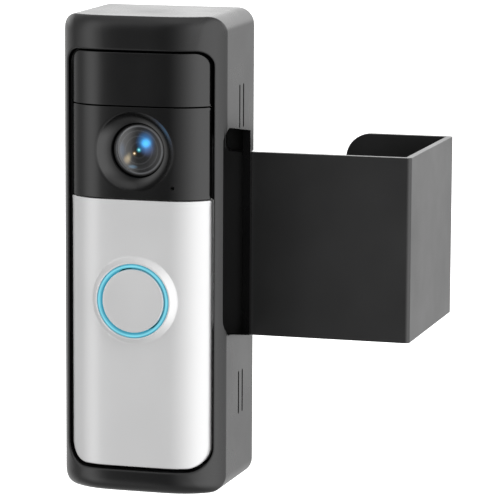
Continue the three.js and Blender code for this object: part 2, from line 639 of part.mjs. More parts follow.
// Local y = 0 is the back of the doorbell body, and the bracket's head is headGap behind it.
function mountPieces(group, headGap, lockY) {
  const riserFront = SEAT + WALL_BRACKET + SEAT;
  const riserBack = headGap - SEAT;
  const riserOuter = extrudeY(roundedRect(0, 0, RISER_WIDTH, RISER_HEIGHT, 4), riserFront, riserBack, 4);
  const inside = roundedRect(0, 0, RISER_WIDTH - 2 * RISER_WALL, RISER_HEIGHT - 2 * RISER_WALL, 2);
  const riserInner = extrudeY(inside, riserFront + RISER_WALL, riserBack + 1, 4);
  const posts = levels.map(([, side]) => rod(0, side * RISER_SCREW_Z, RISER_BOSS, riserFront + 0.5, riserBack));
  const holes = levels.map(([, side]) =>
    rod(0, side * RISER_SCREW_Z, screwHole, riserFront + RISER_WALL, riserBack + 1, SCREW_SIDES),
  );
  const frontHoles = levels.map(([, side]) =>
    rod(0, side * WALL_BRACKET_SCREW_Z, screwHole, riserFront - 1, riserFront + RISER_WALL + 1, SCREW_SIDES),
  );
  const riser = cut(join(cut(solid(riserOuter), riserInner), ...posts), ...holes, ...frontHoles);
  piece(group, 'riser', riser, FINISH.darkPlastic);

  const plateFront = SEAT;
  const plateBack = SEAT + WALL_BRACKET;
  const plate = solid(extrudeY(roundedRect(0, 0, WALL_BRACKET_WIDTH, wallBracketHeight, 3), plateFront,
    plateBack, 4));
  const footTop = -BODY_HEIGHT / 2 + CASE_INSET - SEAT * 2;
  const foot = box(-WALL_BRACKET_WIDTH / 4, WALL_BRACKET_WIDTH / 4, -FOOT_DEPTH, plateBack,
    footTop - FOOT_THICKNESS, footTop);
  const web = box(-WALL_BRACKET_WIDTH / 4, WALL_BRACKET_WIDTH / 4, plateFront, plateBack, footTop - 1,
    -wallBracketHeight / 2 + 1);
  const lockHole = new THREE.CylinderGeometry(screwHole, screwHole, FOOT_THICKNESS + 2, 16);
  lockHole.rotateX(Math.PI / 2).translate(0, lockY, footTop - FOOT_THICKNESS / 2);
  const seatLevel = plateFront + SCREW_HEAD_HEIGHT + 0.2;
  const seats = levels.map(([, side]) =>
    turned([[0, plateFront - 1], [SCREW_HEAD_RADIUS + SEAT, plateFront - 1], [SCREW_HEAD_RADIUS + SEAT, seatLevel],
      [screwHole, seatLevel], [screwHole, plateBack + 1], [0, plateBack + 1]],
    0, side * WALL_BRACKET_SCREW_Z, 16),
  );
  piece(group, 'wall_bracket', cut(join(plate, foot, web), lockHole, ...seats), FINISH.darkPlastic);

  for (const [name, side] of levels) {
    const front = screwAlongY(0, side * WALL_BRACKET_SCREW_Z, plateFront + 0.1, SCREW_LENGTH - 3, SCREW_RADIUS,
      SCREW_HEAD_RADIUS, SCREW_HEAD_HEIGHT, false);
    piece(group, `wall_bracket_screw_${name}`, front, FINISH.zinc);
    const rear = screwAlongY(0, side * RISER_SCREW_Z, headGap + SHEET + SCREW_HEAD_HEIGHT, SCREW_LENGTH,
      SCREW_RADIUS, SCREW_HEAD_RADIUS, SCREW_HEAD_HEIGHT);
    piece(group, `riser_screw_${name}`, rear, FINISH.zinc);
  }

  const headTop = footTop - FOOT_THICKNESS - 0.1;
  const lockProfile = [[0, headTop - 1.6], [SCREW_HEAD_RADIUS, headTop - 1.6], [SCREW_HEAD_RADIUS, headTop],
    [SCREW_RADIUS, headTop], [SCREW_RADIUS, footTop + 1.6], [0, footTop + 1.6]];
  const lock = new THREE.LatheGeometry(lockProfile.map(([r, z]) => new THREE.Vector2(r, z)), 16);
  lock.rotateX(Math.PI / 2).translate(0, lockY, 0);
  piece(group, 'lock_screw', lock, FINISH.zinc);
}

// ---------------------------------------------------------------- doorbell casings

// One face skin over the whole front, hollow behind, between two levels.
function faceSkin(zLow, zHigh) {
  const outline = (inset) => roundedRect(0, 0, BODY_WIDTH - 2 * inset, BODY_HEIGHT - 2 * inset,
    BODY_TOP_CORNER - inset, BODY_BOTTOM_CORNER - inset);
  const layer = (inset, back) => {
    const plan = crownedPlan(bodyFront, BODY_DEPTH, back, inset);
    const tall = solid(extrudeZ(plan, -BODY_HEIGHT, BODY_HEIGHT));
    return tall.intersect(solid(extrudeY(outline(inset), -BODY_DEPTH - 1, back, 5)));
  };
  const skin = layer(0, -SKIRT_BACK).subtract(layer(SKIN, -SKIRT_BACK + 1));
  return skin.intersect(solid(box(-BODY_WIDTH, BODY_WIDTH, -BODY_DEPTH - 2, 2, zLow, zHigh)));
}

function casePieces(group, lockY) {
  const boss = turned(
    [[ringOuter - 1, -ringFront], [ringOuter + 0.5, -ringFront], [ringOuter + 0.9, -ringFront + 0.3],
      [ringBoss, -BODY_DEPTH + BODY_CROWN], [ringBoss, -BODY_DEPTH + 1], [ringOuter - 1, -BODY_DEPTH + 1],
      [ringOuter - 1, -ringFront]],
    0, BUTTON_Z, 32,
  );
  const ringHole = rod(0, BUTTON_Z, ringOuter + RING_CLEARANCE, -ringFront - 1, -SKIRT_BACK, 32);
  const lower = faceSkin(-BODY_HEIGHT, faceplateTop - SEAM / 2);
  piece(group, 'silver_faceplate', cut(join(lower, boss), ringHole), FINISH.nickel);

  const bowlDepth = BODY_DEPTH - LENS_FRONT;
  const bowlBack = -LENS_FRONT + RETAINER_DEPTH;
  const bowlWall = turned(
    [[retainerRadius, -BODY_DEPTH + 0.8], [bowlRadius + BOWL_WALL, -BODY_DEPTH + 0.8],
      [retainerRadius + SEAT + BOWL_WALL, bowlBack], [retainerRadius, bowlBack],
      [retainerRadius, -BODY_DEPTH + 0.8]],
    0, lensZ, 28,
  );
  const bowl = turned(
    [[0, -BODY_DEPTH - 1], [bowlRadius, -BODY_DEPTH - 1], [bowlRadius, -BODY_DEPTH],
      [retainerRadius + SEAT, -BODY_DEPTH + bowlDepth * 0.85], [retainerRadius + SEAT, bowlBack + 1],
      [0, bowlBack + 1]],
    0, lensZ, 28,
  );
  const micHole = rod(MIC_X, micZ, MIC_HOLE, -BODY_DEPTH - 1, -BODY_DEPTH + 4, 10);
  const [coverLow, coverHigh] = [faceplateTop + SEAM / 2, windowBottom - SEAM / 2];
  const coverBand = box(-BODY_WIDTH, BODY_WIDTH, -BODY_DEPTH - 2, 2, coverLow, coverHigh);
  const cover = join(faceSkin(coverLow, coverHigh), bowlWall).intersect(solid(coverBand));
  piece(group, 'camera_cover', cut(cover, bowl, micHole), FINISH.glossBlack);
  piece(group, 'sensor_window', faceSkin(windowBottom + SEAM / 2, BODY_HEIGHT), FINISH.glossBlack);

  const caseOutline = (inset) => roundedRect(0, 0, 2 * (caseHalfWidth - inset), 2 * (caseHalfHeight - inset),
    BODY_TOP_CORNER - inset, BODY_BOTTOM_CORNER - inset);
  const tub = taper(extrudeY(caseOutline(0), -CASE_FRONT, 0, 4), -CASE_FRONT, 0, CASE_TAPER);
  const hollow = taper(extrudeY(caseOutline(CASE_WALL), -CASE_FRONT - 1, -CASE_WALL - 0.2, 4), -CASE_FRONT - 1,
    0, CASE_TAPER);
  const flangeOuter = extrudeY(caseOutline(-FLANGE_OUT), -CASE_FRONT, -CASE_FRONT + FLANGE_THICKNESS, 4);
  const portHole = box(-PORT_WIDTH / 2 - SEAT, PORT_WIDTH / 2 + SEAT, -CASE_WALL - 1, 1,
    PORT_Z - PORT_HEIGHT / 2 - SEAT, PORT_Z + PORT_HEIGHT / 2 + SEAT);
  const plugSeat = box(-PORT_WIDTH / 2 - PLUG_MARGIN - SEAT, PORT_WIDTH / 2 + PLUG_MARGIN + SEAT, -0.9, 1,
    PORT_Z - PORT_HEIGHT / 2 - PLUG_MARGIN - SEAT, PORT_Z + PORT_HEIGHT / 2 + PLUG_MARGIN + SEAT);
  const caseTools = [portHole, plugSeat];
  const wallLow = -caseHalfHeight - FLANGE_OUT;
  for (const offset of [-2.4, 2.4]) {
    caseTools.push(box(SPEAKER_X + offset - 1.6, SPEAKER_X + offset + 1.6, -10.5, -8.5, wallLow - 1,
      -caseHalfHeight + CASE_WALL + 1));
  }
  const lockBore = new THREE.CylinderGeometry(screwHole, screwHole, 6, 16);
  caseTools.push(lockBore.rotateX(Math.PI / 2).translate(0, lockY, -caseHalfHeight + 0.5));
  for (const [, across, up] of corners) {
    caseTools.push(rod(across * postX, up * postZ, CASE_SCREW_RADIUS + SCREW_CLEARANCE, -4, 1, 12));
    caseTools.push(rod(across * postX, up * postZ, CASE_SCREW_HEAD + SCREW_CLEARANCE, -0.9, 1, 14));
  }
  piece(group, 'rear_case', cut(join(solid(tub), flangeOuter), hollow, ...caseTools), FINISH.darkPlastic);

  const gasket = solid(extrudeY(caseOutline(0.3), -SKIRT_BACK + 0.2, -SKIRT_BACK + 0.2 + GASKET, 4));
  const gasketHole = extrudeY(caseOutline(CASE_WALL), -SKIRT_BACK - 1, -CASE_FRONT, 4);
  piece(group, 'case_gasket', cut(gasket, gasketHole), FINISH.silicone);

  const chassisBack = -CHASSIS_FRONT + CHASSIS;
  const chassisPlate = solid(extrudeY(caseOutline(CASE_WALL + 0.3), -CHASSIS_FRONT, chassisBack, 4));
  const posts = corners.map(([, across, up]) =>
    rod(across * postX, up * postZ, POST_RADIUS, chassisBack - 0.4, -CASE_WALL - 0.5, 14),
  );
  const postHoles = corners.map(([, across, up]) =>
    rod(across * postX, up * postZ, CASE_SCREW_RADIUS + SCREW_CLEARANCE, -9, 0, 12),
  );
  const lensHole = rod(0, lensZ, retainerRadius + 0.4, -CHASSIS_FRONT - 1, chassisBack + 1, 24);
  const wireHole = box(-4, 4, -CHASSIS_FRONT - 1, chassisBack + 1, -30, -26);
  piece(group, 'front_chassis', cut(join(chassisPlate, ...posts), ...postHoles, lensHole, wireHole),
    FINISH.darkPlastic);

  for (const [name, across, up] of corners) {
    const screw = screwAlongY(across * postX, up * postZ, -0.1, 6, CASE_SCREW_RADIUS, CASE_SCREW_HEAD, 0.7);
    piece(group, `case_screw_${name}`, screw, FINISH.zinc);
  }
}

// ---------------------------------------------------------------- button and light ring

function buttonPieces(group) {
  const capFront = -ringFront + 0.1;
  const capBack = capFront + BUTTON_THICKNESS;
  const boardY = -LED_BOARD_FRONT;
  const switchTop = boardY - SWITCH_HEIGHT;
  const plungerTop = switchTop - PLUNGER_PROUD;
  const domeInner = plungerTop - 0.2;
  const domeTop = domeInner - DOME_WALL;
  const stemEnd = domeTop - 0.2;
  const cap = turned(
    [[0, capFront], [BUTTON_RADIUS - 0.4, capFront + 0.05], [BUTTON_RADIUS, capFront + 0.35],
      [BUTTON_RADIUS, capBack], [STEM_RADIUS, capBack], [STEM_RADIUS, stemEnd], [0, stemEnd]],
    0, BUTTON_Z, 32,
  );
  piece(group, 'button_cap', cap, FINISH.nickel);
  piece(group, 'light_ring', ringPiece(0, BUTTON_Z, ringInner, ringOuter, -ringFront, boardY - 0.9, 32),
    FINISH.lightGuide);

  const web = domeRadius * 0.72;
  const foot = domeRadius - 0.7;
  const dome = turned(
    [[0, domeTop], [STEM_RADIUS + 0.6, domeTop], [web, domeTop + 0.3], [domeRadius, boardY - 1.6],
      [domeRadius, boardY - 0.1], [foot, boardY - 0.1], [foot, boardY - 1.5], [web - 0.4, domeInner + 0.4],
      [STEM_RADIUS + 0.4, domeInner], [0, domeInner]],
    0, BUTTON_Z, 20,
  );
  piece(group, 'button_dome', dome, FINISH.silicone);

  const half = SWITCH_SIZE / 2;
  const bore = rod(0, BUTTON_Z, PLUNGER_RADIUS + 0.1, switchTop - 1, switchTop + 1.2, 16);
  const body = box(-half, half, switchTop, boardY, BUTTON_Z - half, BUTTON_Z + half);
  piece(group, 'tact_switch', cut(solid(body), bore), FINISH.chip);
  piece(group, 'switch_plunger', rod(0, BUTTON_Z, PLUNGER_RADIUS, plungerTop, switchTop + 0.8, 16), FINISH.copper);

  let board = solid(rod(0, BUTTON_Z, ledBoardRadius, boardY, boardY + BOARD, 20));
  const ledRadius = (ringInner + ringOuter) / 2;
  for (let i = 0; i < LED_COUNT; i++) {
    const angle = (i / LED_COUNT) * Math.PI * 2;
    const [x, z] = [ledRadius * Math.cos(angle), BUTTON_Z + ledRadius * Math.sin(angle)];
    board = join(board, box(x - 0.5, x + 0.5, boardY - 0.6, boardY + 0.2, z - 0.5, z + 0.5));
  }
  piece(group, 'led_board', board, FINISH.board);
}

// ---------------------------------------------------------------- camera

function cameraPieces(group) {
  const half = CAMERA_BOARD / 2;
  const boardBack = -CAMERA_BOARD_BACK;
  const boardFrontY = boardBack - BOARD;
  piece(group, 'camera_board', box(-half, half, boardFrontY, boardBack, lensZ - half, lensZ + half),
    FINISH.board);
  const chipHalf = SENSOR_CHIP / 2;
  const chipFront = boardFrontY - 0.9;
  piece(group, 'image_sensor',
    box(-chipHalf, chipHalf, chipFront, boardFrontY, lensZ - chipHalf, lensZ + chipHalf), FINISH.chip);

  const holderFront = chipFront - 2;
  const holderOutline = roundedRect(0, lensZ, retainerRadius * 2, retainerRadius * 2, 1.5);
  const holderRoom = box(-chipHalf - 0.6, chipHalf + 0.6, chipFront - 0.6, boardFrontY + 1,
    lensZ - chipHalf - 0.6, lensZ + chipHalf + 0.6);
  const holderBore = rod(0, lensZ, SENSOR_CHIP * 0.4, holderFront - 1, boardFrontY, 20);
  piece(group, 'lens_holder', cut(solid(extrudeY(holderOutline, holderFront, boardFrontY, 4)), holderRoom,
    holderBore), FINISH.darkPlastic);

  const barrelFront = -LENS_FRONT + RETAINER_DEPTH + 0.1;
  const barrel = ringPiece(0, lensZ, LENS_RADIUS - BARREL_WALL, retainerRadius - 0.2, barrelFront,
    holderFront - 0.1, 24);
  piece(group, 'lens_barrel', barrel, FINISH.darkPlastic);
  piece(group, 'lens_retainer',
    ringPiece(0, lensZ, LENS_RADIUS + 0.1, retainerRadius, -LENS_FRONT, barrelFront - 0.1, 28),
    FINISH.glossBlack);
  const glass = turned(
    [[0, -LENS_FRONT - 0.9], [LENS_RADIUS * 0.5, -LENS_FRONT - 0.65], [LENS_RADIUS * 0.85, -LENS_FRONT],
      [LENS_RADIUS, -LENS_FRONT + 0.5], [LENS_RADIUS, barrelFront - 0.1], [0, barrelFront - 0.1]],
    0, lensZ, 24,
  );
  piece(group, 'front_lens', glass, FINISH.glass);
}

// ---------------------------------------------------------------- boards, power and sound

function electronicPieces(group) {
  const boardOutline = roundedRect(0, 0, boardWidth, boardHeight, 2);
  const postCuts = corners.map(([, across, up]) =>
    rod(across * postX, up * postZ, POST_RADIUS + 0.5, -boardFront - 1, -MAIN_BOARD_BACK + 1, 14),
  );
  const mainBoard = cut(solid(extrudeY(boardOutline, -boardFront, -MAIN_BOARD_BACK, 3)), ...postCuts);
  piece(group, 'main_board', mainBoard, FINISH.board);

  piece(group, 'processor_shield',
    box(-SHIELD_WIDTH / 2, SHIELD_WIDTH / 2, -boardFront - SHIELD_DEPTH, -boardFront, shieldZ - SHIELD_HEIGHT / 2,
      shieldZ + SHIELD_HEIGHT / 2), FINISH.zinc);

  const batteryOutline = roundedRect(0, (batteryTop + batteryBottom) / 2, boardWidth,
    batteryTop - batteryBottom, 3);
  const batteryBack = -boardFront - 1.2;
  piece(group, 'battery_pack', extrudeY(batteryOutline, batteryBack - BATTERY_DEPTH, batteryBack, 4), FINISH.cell);

  piece(group, 'charge_port', box(-PORT_WIDTH / 2, PORT_WIDTH / 2, -MAIN_BOARD_BACK, -1.1, PORT_Z - PORT_HEIGHT / 2,
    PORT_Z + PORT_HEIGHT / 2), FINISH.zinc);
  piece(group, 'port_plug', box(-PORT_WIDTH / 2 - PLUG_MARGIN, PORT_WIDTH / 2 + PLUG_MARGIN, -0.8, 0,
    PORT_Z - PORT_HEIGHT / 2 - PLUG_MARGIN, PORT_Z + PORT_HEIGHT / 2 + PLUG_MARGIN), FINISH.rubber);

  const speakerLow = -caseHalfHeight + CASE_WALL + 0.9;
  const speakerBack = -boardFront - 1;
  piece(group, 'speaker', box(SPEAKER_X - SPEAKER_WIDTH / 2, SPEAKER_X + SPEAKER_WIDTH / 2,
    speakerBack - SPEAKER_DEPTH, speakerBack, speakerLow, speakerLow + SPEAKER_HEIGHT), FINISH.chip);
  const speakerY = speakerBack - SPEAKER_DEPTH / 2;
  const gasket = roundedRect(SPEAKER_X, speakerY, SPEAKER_WIDTH, SPEAKER_DEPTH, 1);
  gasket.holes.push(roundedRect(SPEAKER_X, speakerY, SPEAKER_WIDTH - 3, SPEAKER_DEPTH - 3, 0.5));
  piece(group, 'speaker_gasket', extrudeZ(gasket, speakerLow - 0.75, speakerLow - 0.15, 3), FINISH.silicone);

  const antennaHalf = postX - POST_RADIUS - 1;
  const antennaBack = -CHASSIS_FRONT + CHASSIS + 1.9;
  piece(group, 'antenna', box(-antennaHalf, antennaHalf, antennaBack - ANTENNA_THICKNESS, antennaBack,
    postZ - ANTENNA_HEIGHT / 2, postZ + ANTENNA_HEIGHT / 2), FINISH.copper);

  const sensorBoardBack = -CHASSIS_FRONT - 1.2;
  const sensorBoardFront = sensorBoardBack - BOARD;
  piece(group, 'sensor_board', box(-15, 15, sensorBoardFront, sensorBoardBack, sensorZ - 5.5, sensorZ + 5),
    FINISH.board);
  piece(group, 'motion_sensor', rod(0, sensorZ, PIR_RADIUS, sensorBoardFront - PIR_HEIGHT, sensorBoardFront, 24),
    FINISH.zinc);
  for (const [name, side] of sides) {
    const emitter = turned(
      [[0, sensorBoardFront - 2.2], [IR_RADIUS * 0.7, sensorBoardFront - 1.9], [IR_RADIUS, sensorBoardFront - 1.2],
        [IR_RADIUS, sensorBoardFront], [0, sensorBoardFront]],
      side * IR_X, sensorZ, 16,
    );
    piece(group, `ir_emitter_${name}`, emitter, FINISH.glass);
  }

  const micFront = -BODY_DEPTH + frontFall(MIC_X + MIC_GASKET_RADIUS, bodyFront, SKIN) + 0.03;
  const micGasket = ringPiece(MIC_X, micZ, MIC_HOLE, MIC_GASKET_RADIUS, micFront, micFront + 1.6, 16);
  piece(group, 'mic_gasket', micGasket, FINISH.rubber);
  piece(group, 'microphone', box(MIC_X - 2, MIC_X + 2, micFront + 1.7, micFront + 2.8, micZ - 1.5, micZ + 1.5),
    FINISH.zinc);
}

// ---------------------------------------------------------------- assembly

const assembly = new THREE.Group();
bracketPieces(assembly);
clampPieces(assembly);

const housingGroup = new THREE.Group();
housingGroup.position.set(housingX, armBackY, 0);
housingPieces(housingGroup);
assembly.add(housingGroup);

const doorbellGroup = new THREE.Group();
doorbellGroup.position.set(housingX, bodyBackY, -bodyDrop);
const lockY = -FOOT_DEPTH * 0.6;
mountPieces(doorbellGroup, armFrontY - bodyBackY, lockY);
casePieces(doorbellGroup, lockY);
buttonPieces(doorbellGroup);
cameraPieces(doorbellGroup);
electronicPieces(doorbellGroup);
assembly.add(doorbellGroup);

export default assembly;
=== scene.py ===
"""Looks of a slim video doorbell in a protective housing on a door-edge bracket.

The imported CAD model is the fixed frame. Every visible piece is rebuilt here as a fine mesh in the frame's
own coordinates (metres, +Z up, the street side at -Y), and every hidden CAD node gets a procedural finish.
"""

import logging
import math
from dataclasses import dataclass, field
from enum import Enum
from typing import Callable, Iterable, Sequence

import bmesh
import bpy
from mathutils import Matrix, Vector


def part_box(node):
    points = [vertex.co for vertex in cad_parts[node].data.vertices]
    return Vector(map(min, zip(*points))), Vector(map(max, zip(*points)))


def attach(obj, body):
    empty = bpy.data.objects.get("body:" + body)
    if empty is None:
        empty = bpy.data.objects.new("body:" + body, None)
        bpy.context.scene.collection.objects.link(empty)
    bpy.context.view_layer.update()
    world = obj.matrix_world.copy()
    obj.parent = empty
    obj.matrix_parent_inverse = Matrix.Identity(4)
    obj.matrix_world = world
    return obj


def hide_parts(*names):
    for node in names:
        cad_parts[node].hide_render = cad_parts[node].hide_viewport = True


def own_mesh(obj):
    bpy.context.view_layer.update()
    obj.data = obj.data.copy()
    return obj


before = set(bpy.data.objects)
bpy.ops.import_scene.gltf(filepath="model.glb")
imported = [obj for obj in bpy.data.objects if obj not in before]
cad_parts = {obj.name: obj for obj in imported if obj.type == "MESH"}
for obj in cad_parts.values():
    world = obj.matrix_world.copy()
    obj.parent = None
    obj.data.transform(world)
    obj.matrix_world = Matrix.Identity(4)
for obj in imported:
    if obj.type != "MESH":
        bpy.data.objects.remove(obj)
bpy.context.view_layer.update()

LOG = logging.getLogger("doorbell")
MM = 0.001
UPPER_CORNER = 4 * MM   # upper corners of the doorbell's face
LOWER_CORNER = 6 * MM   # its lower corners
SEAM_CORNER = 0.4 * MM  # corners of a skin at a seam
Point = tuple[float, float, float]
Flat = tuple[float, float]
BODY = "mount"
POLE = 0.0002 * MM      # radius left at a turned piece's axis, where a small face closes it
SMOOTH_ANGLE = 32.0     # faces that meet at less than this, in degrees, shade smoothly


class Axis(Enum):
    """The row axis that a straight block runs along."""

    X = "X"
    Y = "Y"


# -------------------------------------------------------------------------------------------- materials


class NodeTree:
    """A thin helper that adds nodes to a tree and joins them."""

    def __init__(self, tree: bpy.types.NodeTree) -> None:
        """Keeps the tree and empties it.

        Args:
            tree: the node tree to fill.
        """
        self.tree = tree
        tree.nodes.clear()

    def add(self, kind: str, **values: object) -> bpy.types.Node:
        """Adds a node and sets its properties and inputs.

        Args:
            kind: the node's type name.
            values: properties by name, or inputs by name with spaces written as underscores.

        Returns:
            The new node.
        """
        node = self.tree.nodes.new(kind)
        for key, value in values.items():
            if hasattr(node, key):
                setattr(node, key, value)
            else:
                node.inputs[key.replace("_", " ")].default_value = value
        return node

    def link(self, source: bpy.types.NodeSocket, target: bpy.types.NodeSocket) -> None:
        """Joins one output to one input."""
        self.tree.links.new(source, target)

    def ramp(self, value: bpy.types.NodeSocket, stops: Sequence[tuple[float, Point]]) -> bpy.types.NodeSocket:
        """Adds a colour ramp.

        Args:
            value: the socket that drives it, from 0 to 1.
            stops: its positions and colours, in order.

        Returns:
            The ramp's colour.
        """
        node = self.add("ShaderNodeValToRGB")
        elements = node.color_ramp.elements
        elements[0].position, elements[1].position = stops[0][0], stops[-1][0]
        for position, _ in stops[1:-1]:
            elements.new(position)
        for element, (_, colour) in zip(elements, stops):
            element.color = (*colour, 1.0)
        self.link(value, node.inputs["Fac"])
        return node.outputs["Color"]

    def sum_or_product(self, operation: str, first: bpy.types.NodeSocket,
                       second: bpy.types.NodeSocket) -> bpy.types.NodeSocket:
        """Adds a Math node that joins two values.

        Args:
            operation: ADD or MULTIPLY.
            first: one value.
            second: the other.

        Returns:
            The result.
        """
        node = self.add("ShaderNodeMath", operation=operation)
        self.link(first, node.inputs[0])
        self.link(second, node.inputs[1])
        return node.outputs[0]


@dataclass(frozen=True)
class Finish:
    """A surface finish: base colour, gloss and fine grain, all in the piece's own coordinates.

    Attributes:
        name: the finish's plain name, which its material takes.
        slot: the record's material slot; not used.
        colour: base colour, linear.
        roughness: middle roughness.
        metallic: 0 for plastic and paint, 1 for bare metal.
        specular: how strongly the surface mirrors, 0.5 for ordinary plastic.
        grain: size of the fine texture, in metres.
        relief: depth of the fine texture, in metres.
        tone: how far the colour wanders, as a share.
        stretch: how the grain is drawn out along each axis.
        coat: weight of a clear coat.
    """

    name: str
    slot: str
    colour: Point
    roughness: float = 0.5
    metallic: float = 0.0
    specular: float = 0.5
    grain: float = 0.0006
    relief: float = 0.00001
    tone: float = 0.06
    stretch: Point = (1.0, 1.0, 1.0)
    coat: float = 0.0

    def material(self) -> bpy.types.Material:
        """Builds the material once and returns it afterwards."""
        made = bpy.data.materials.get(self.name)
        if made is not None:
            return made
        made = bpy.data.materials.new(self.name)
        made.use_nodes = True
        tree = NodeTree(made.node_tree)
        shader = tree.add("ShaderNodeBsdfPrincipled", Metallic=self.metallic, Roughness=self.roughness)
        shader.inputs["Specular IOR Level"].default_value = self.specular
        shader.inputs["Coat Weight"].default_value = self.coat
        shader.inputs["Coat Roughness"].default_value = 0.08
        output = tree.add("ShaderNodeOutputMaterial")
        tree.link(shader.outputs["BSDF"], output.inputs["Surface"])
        where = tree.add("ShaderNodeTexCoord")
        mapping = tree.add("ShaderNodeMapping")
        mapping.inputs["Scale"].default_value = self.stretch
        tree.link(where.outputs["Object"], mapping.inputs["Vector"])
        self.paint(tree, shader, mapping.outputs["Vector"])
        return made

    def paint(self, tree: NodeTree, shader: bpy.types.Node, place: bpy.types.NodeSocket) -> None:
        """Adds the colour drift, the roughness drift and the fine relief.

        Args:
            tree: the material's tree.
            shader: its Principled shader.
            place: the coordinates to use.
        """
        fine = tree.add("ShaderNodeTexNoise", Scale=1.0 / self.grain, Detail=3.0, Roughness=0.6)
        broad = tree.add("ShaderNodeTexNoise", Scale=60.0, Detail=2.0, Roughness=0.5)
        tree.link(place, fine.inputs["Vector"])
        tree.link(place, broad.inputs["Vector"])
        self.tint(tree, shader, broad.outputs["Fac"])
        rough = tree.add("ShaderNodeMapRange")
        rough.inputs["To Min"].default_value = max(self.roughness - 0.07, 0.02)
        rough.inputs["To Max"].default_value = min(self.roughness + 0.07, 1.0)
        tree.link(broad.outputs["Fac"], rough.inputs["Value"])
        tree.link(rough.outputs["Result"], shader.inputs["Roughness"])
        bump = tree.add("ShaderNodeBump", Strength=1.0, Distance=self.relief)
        tree.link(fine.outputs["Fac"], bump.inputs["Height"])
        tree.link(bump.outputs["Normal"], shader.inputs["Normal"])

    def tint(self, tree: NodeTree, shader: bpy.types.Node, drift: bpy.types.NodeSocket) -> None:
        """Lets the base colour wander a little about its middle value.

        Args:
            tree: the material's tree.
            shader: its Principled shader.
            drift: a slow noise, from 0 to 1.
        """
        low = tuple(c * (1 - self.tone) for c in self.colour)
        high = tuple(c * (1 + self.tone) for c in self.colour)
        tree.link(tree.ramp(drift, ((0.3, low), (0.7, high))), shader.inputs["Base Color"])


@dataclass(frozen=True)
class LitGuide(Finish):
    """A translucent light guide that glows evenly, a little brighter where a diode sits behind it.

    Attributes:
        centre: middle of the ring, in metres.
        inner: inner radius of the ring.
        outer: outer radius of the ring.
        diodes: number of diodes behind the ring.
        glow: strength of the light.
    """

    centre: Point = (0.0, 0.0, 0.0)
    inner: float = 0.0
    outer: float = 0.0
    diodes: int = 8
    glow: float = 0.9

    def paint(self, tree: NodeTree, shader: bpy.types.Node, place: bpy.types.NodeSocket) -> None:
        """Adds the glow, which swells a little in front of each diode.

        Args:
            tree: the material's tree.
            shader: its Principled shader.
            place: the coordinates to use.
        """
        super().paint(tree, shader, place)
        shift = tree.add("ShaderNodeMapping")
        shift.inputs["Location"].default_value = (-self.centre[0], 0.0, -self.centre[2])
        shift.inputs["Scale"].default_value = (1.0, 0.0, 1.0)
        tree.link(place, shift.inputs["Vector"])
        split = tree.add("ShaderNodeSeparateXYZ")
        tree.link(shift.outputs["Vector"], split.inputs["Vector"])
        away = tree.add("ShaderNodeVectorMath", operation="LENGTH")
        tree.link(shift.outputs["Vector"], away.inputs[0])
        band = tree.add("ShaderNodeMapRange")
        band.inputs["From Min"].default_value = self.inner
        band.inputs["From Max"].default_value = self.outer
        tree.link(away.outputs["Value"], band.inputs["Value"])
        dim, mid, bright = (0.05, 0.30, 0.42), (0.08, 0.42, 0.55), (0.22, 0.68, 0.80)
        light = tree.ramp(band.outputs["Result"], ((0.0, dim), (0.2, mid), (0.42, bright), (0.6, bright),
                                                   (0.8, mid), (1.0, dim)))
        angle = tree.add("ShaderNodeMath", operation="ARCTAN2")
        tree.link(split.outputs["Z"], angle.inputs[0])
        tree.link(split.outputs["X"], angle.inputs[1])
        many = tree.add("ShaderNodeMath", operation="MULTIPLY")
        many.inputs[1].default_value = float(self.diodes)
        tree.link(angle.outputs[0], many.inputs[0])
        wave = tree.add("ShaderNodeMath", operation="COSINE")
        tree.link(many.outputs[0], wave.inputs[0])
        swell = tree.add("ShaderNodeMapRange")
        swell.inputs["From Min"].default_value = -1.0
        swell.inputs["To Min"].default_value = self.glow * 0.95
        swell.inputs["To Max"].default_value = self.glow * 1.05
        tree.link(wave.outputs[0], swell.inputs["Value"])
        tree.link(light, shader.inputs["Emission Color"])
        tree.link(swell.outputs["Result"], shader.inputs["Emission Strength"])


@dataclass(frozen=True)
class Glint:
    """One soft patch of painted reflection in the lens's colour.

    Attributes:
        x: distance right of the lens axis, in metres.
        z: distance above it.
        radius: where the patch has faded out.
        colour: its colour, linear.
        squash: height of the patch as a share of its width.
    """

    x: float
    z: float
    radius: float
    colour: Point
    squash: float = 1.0


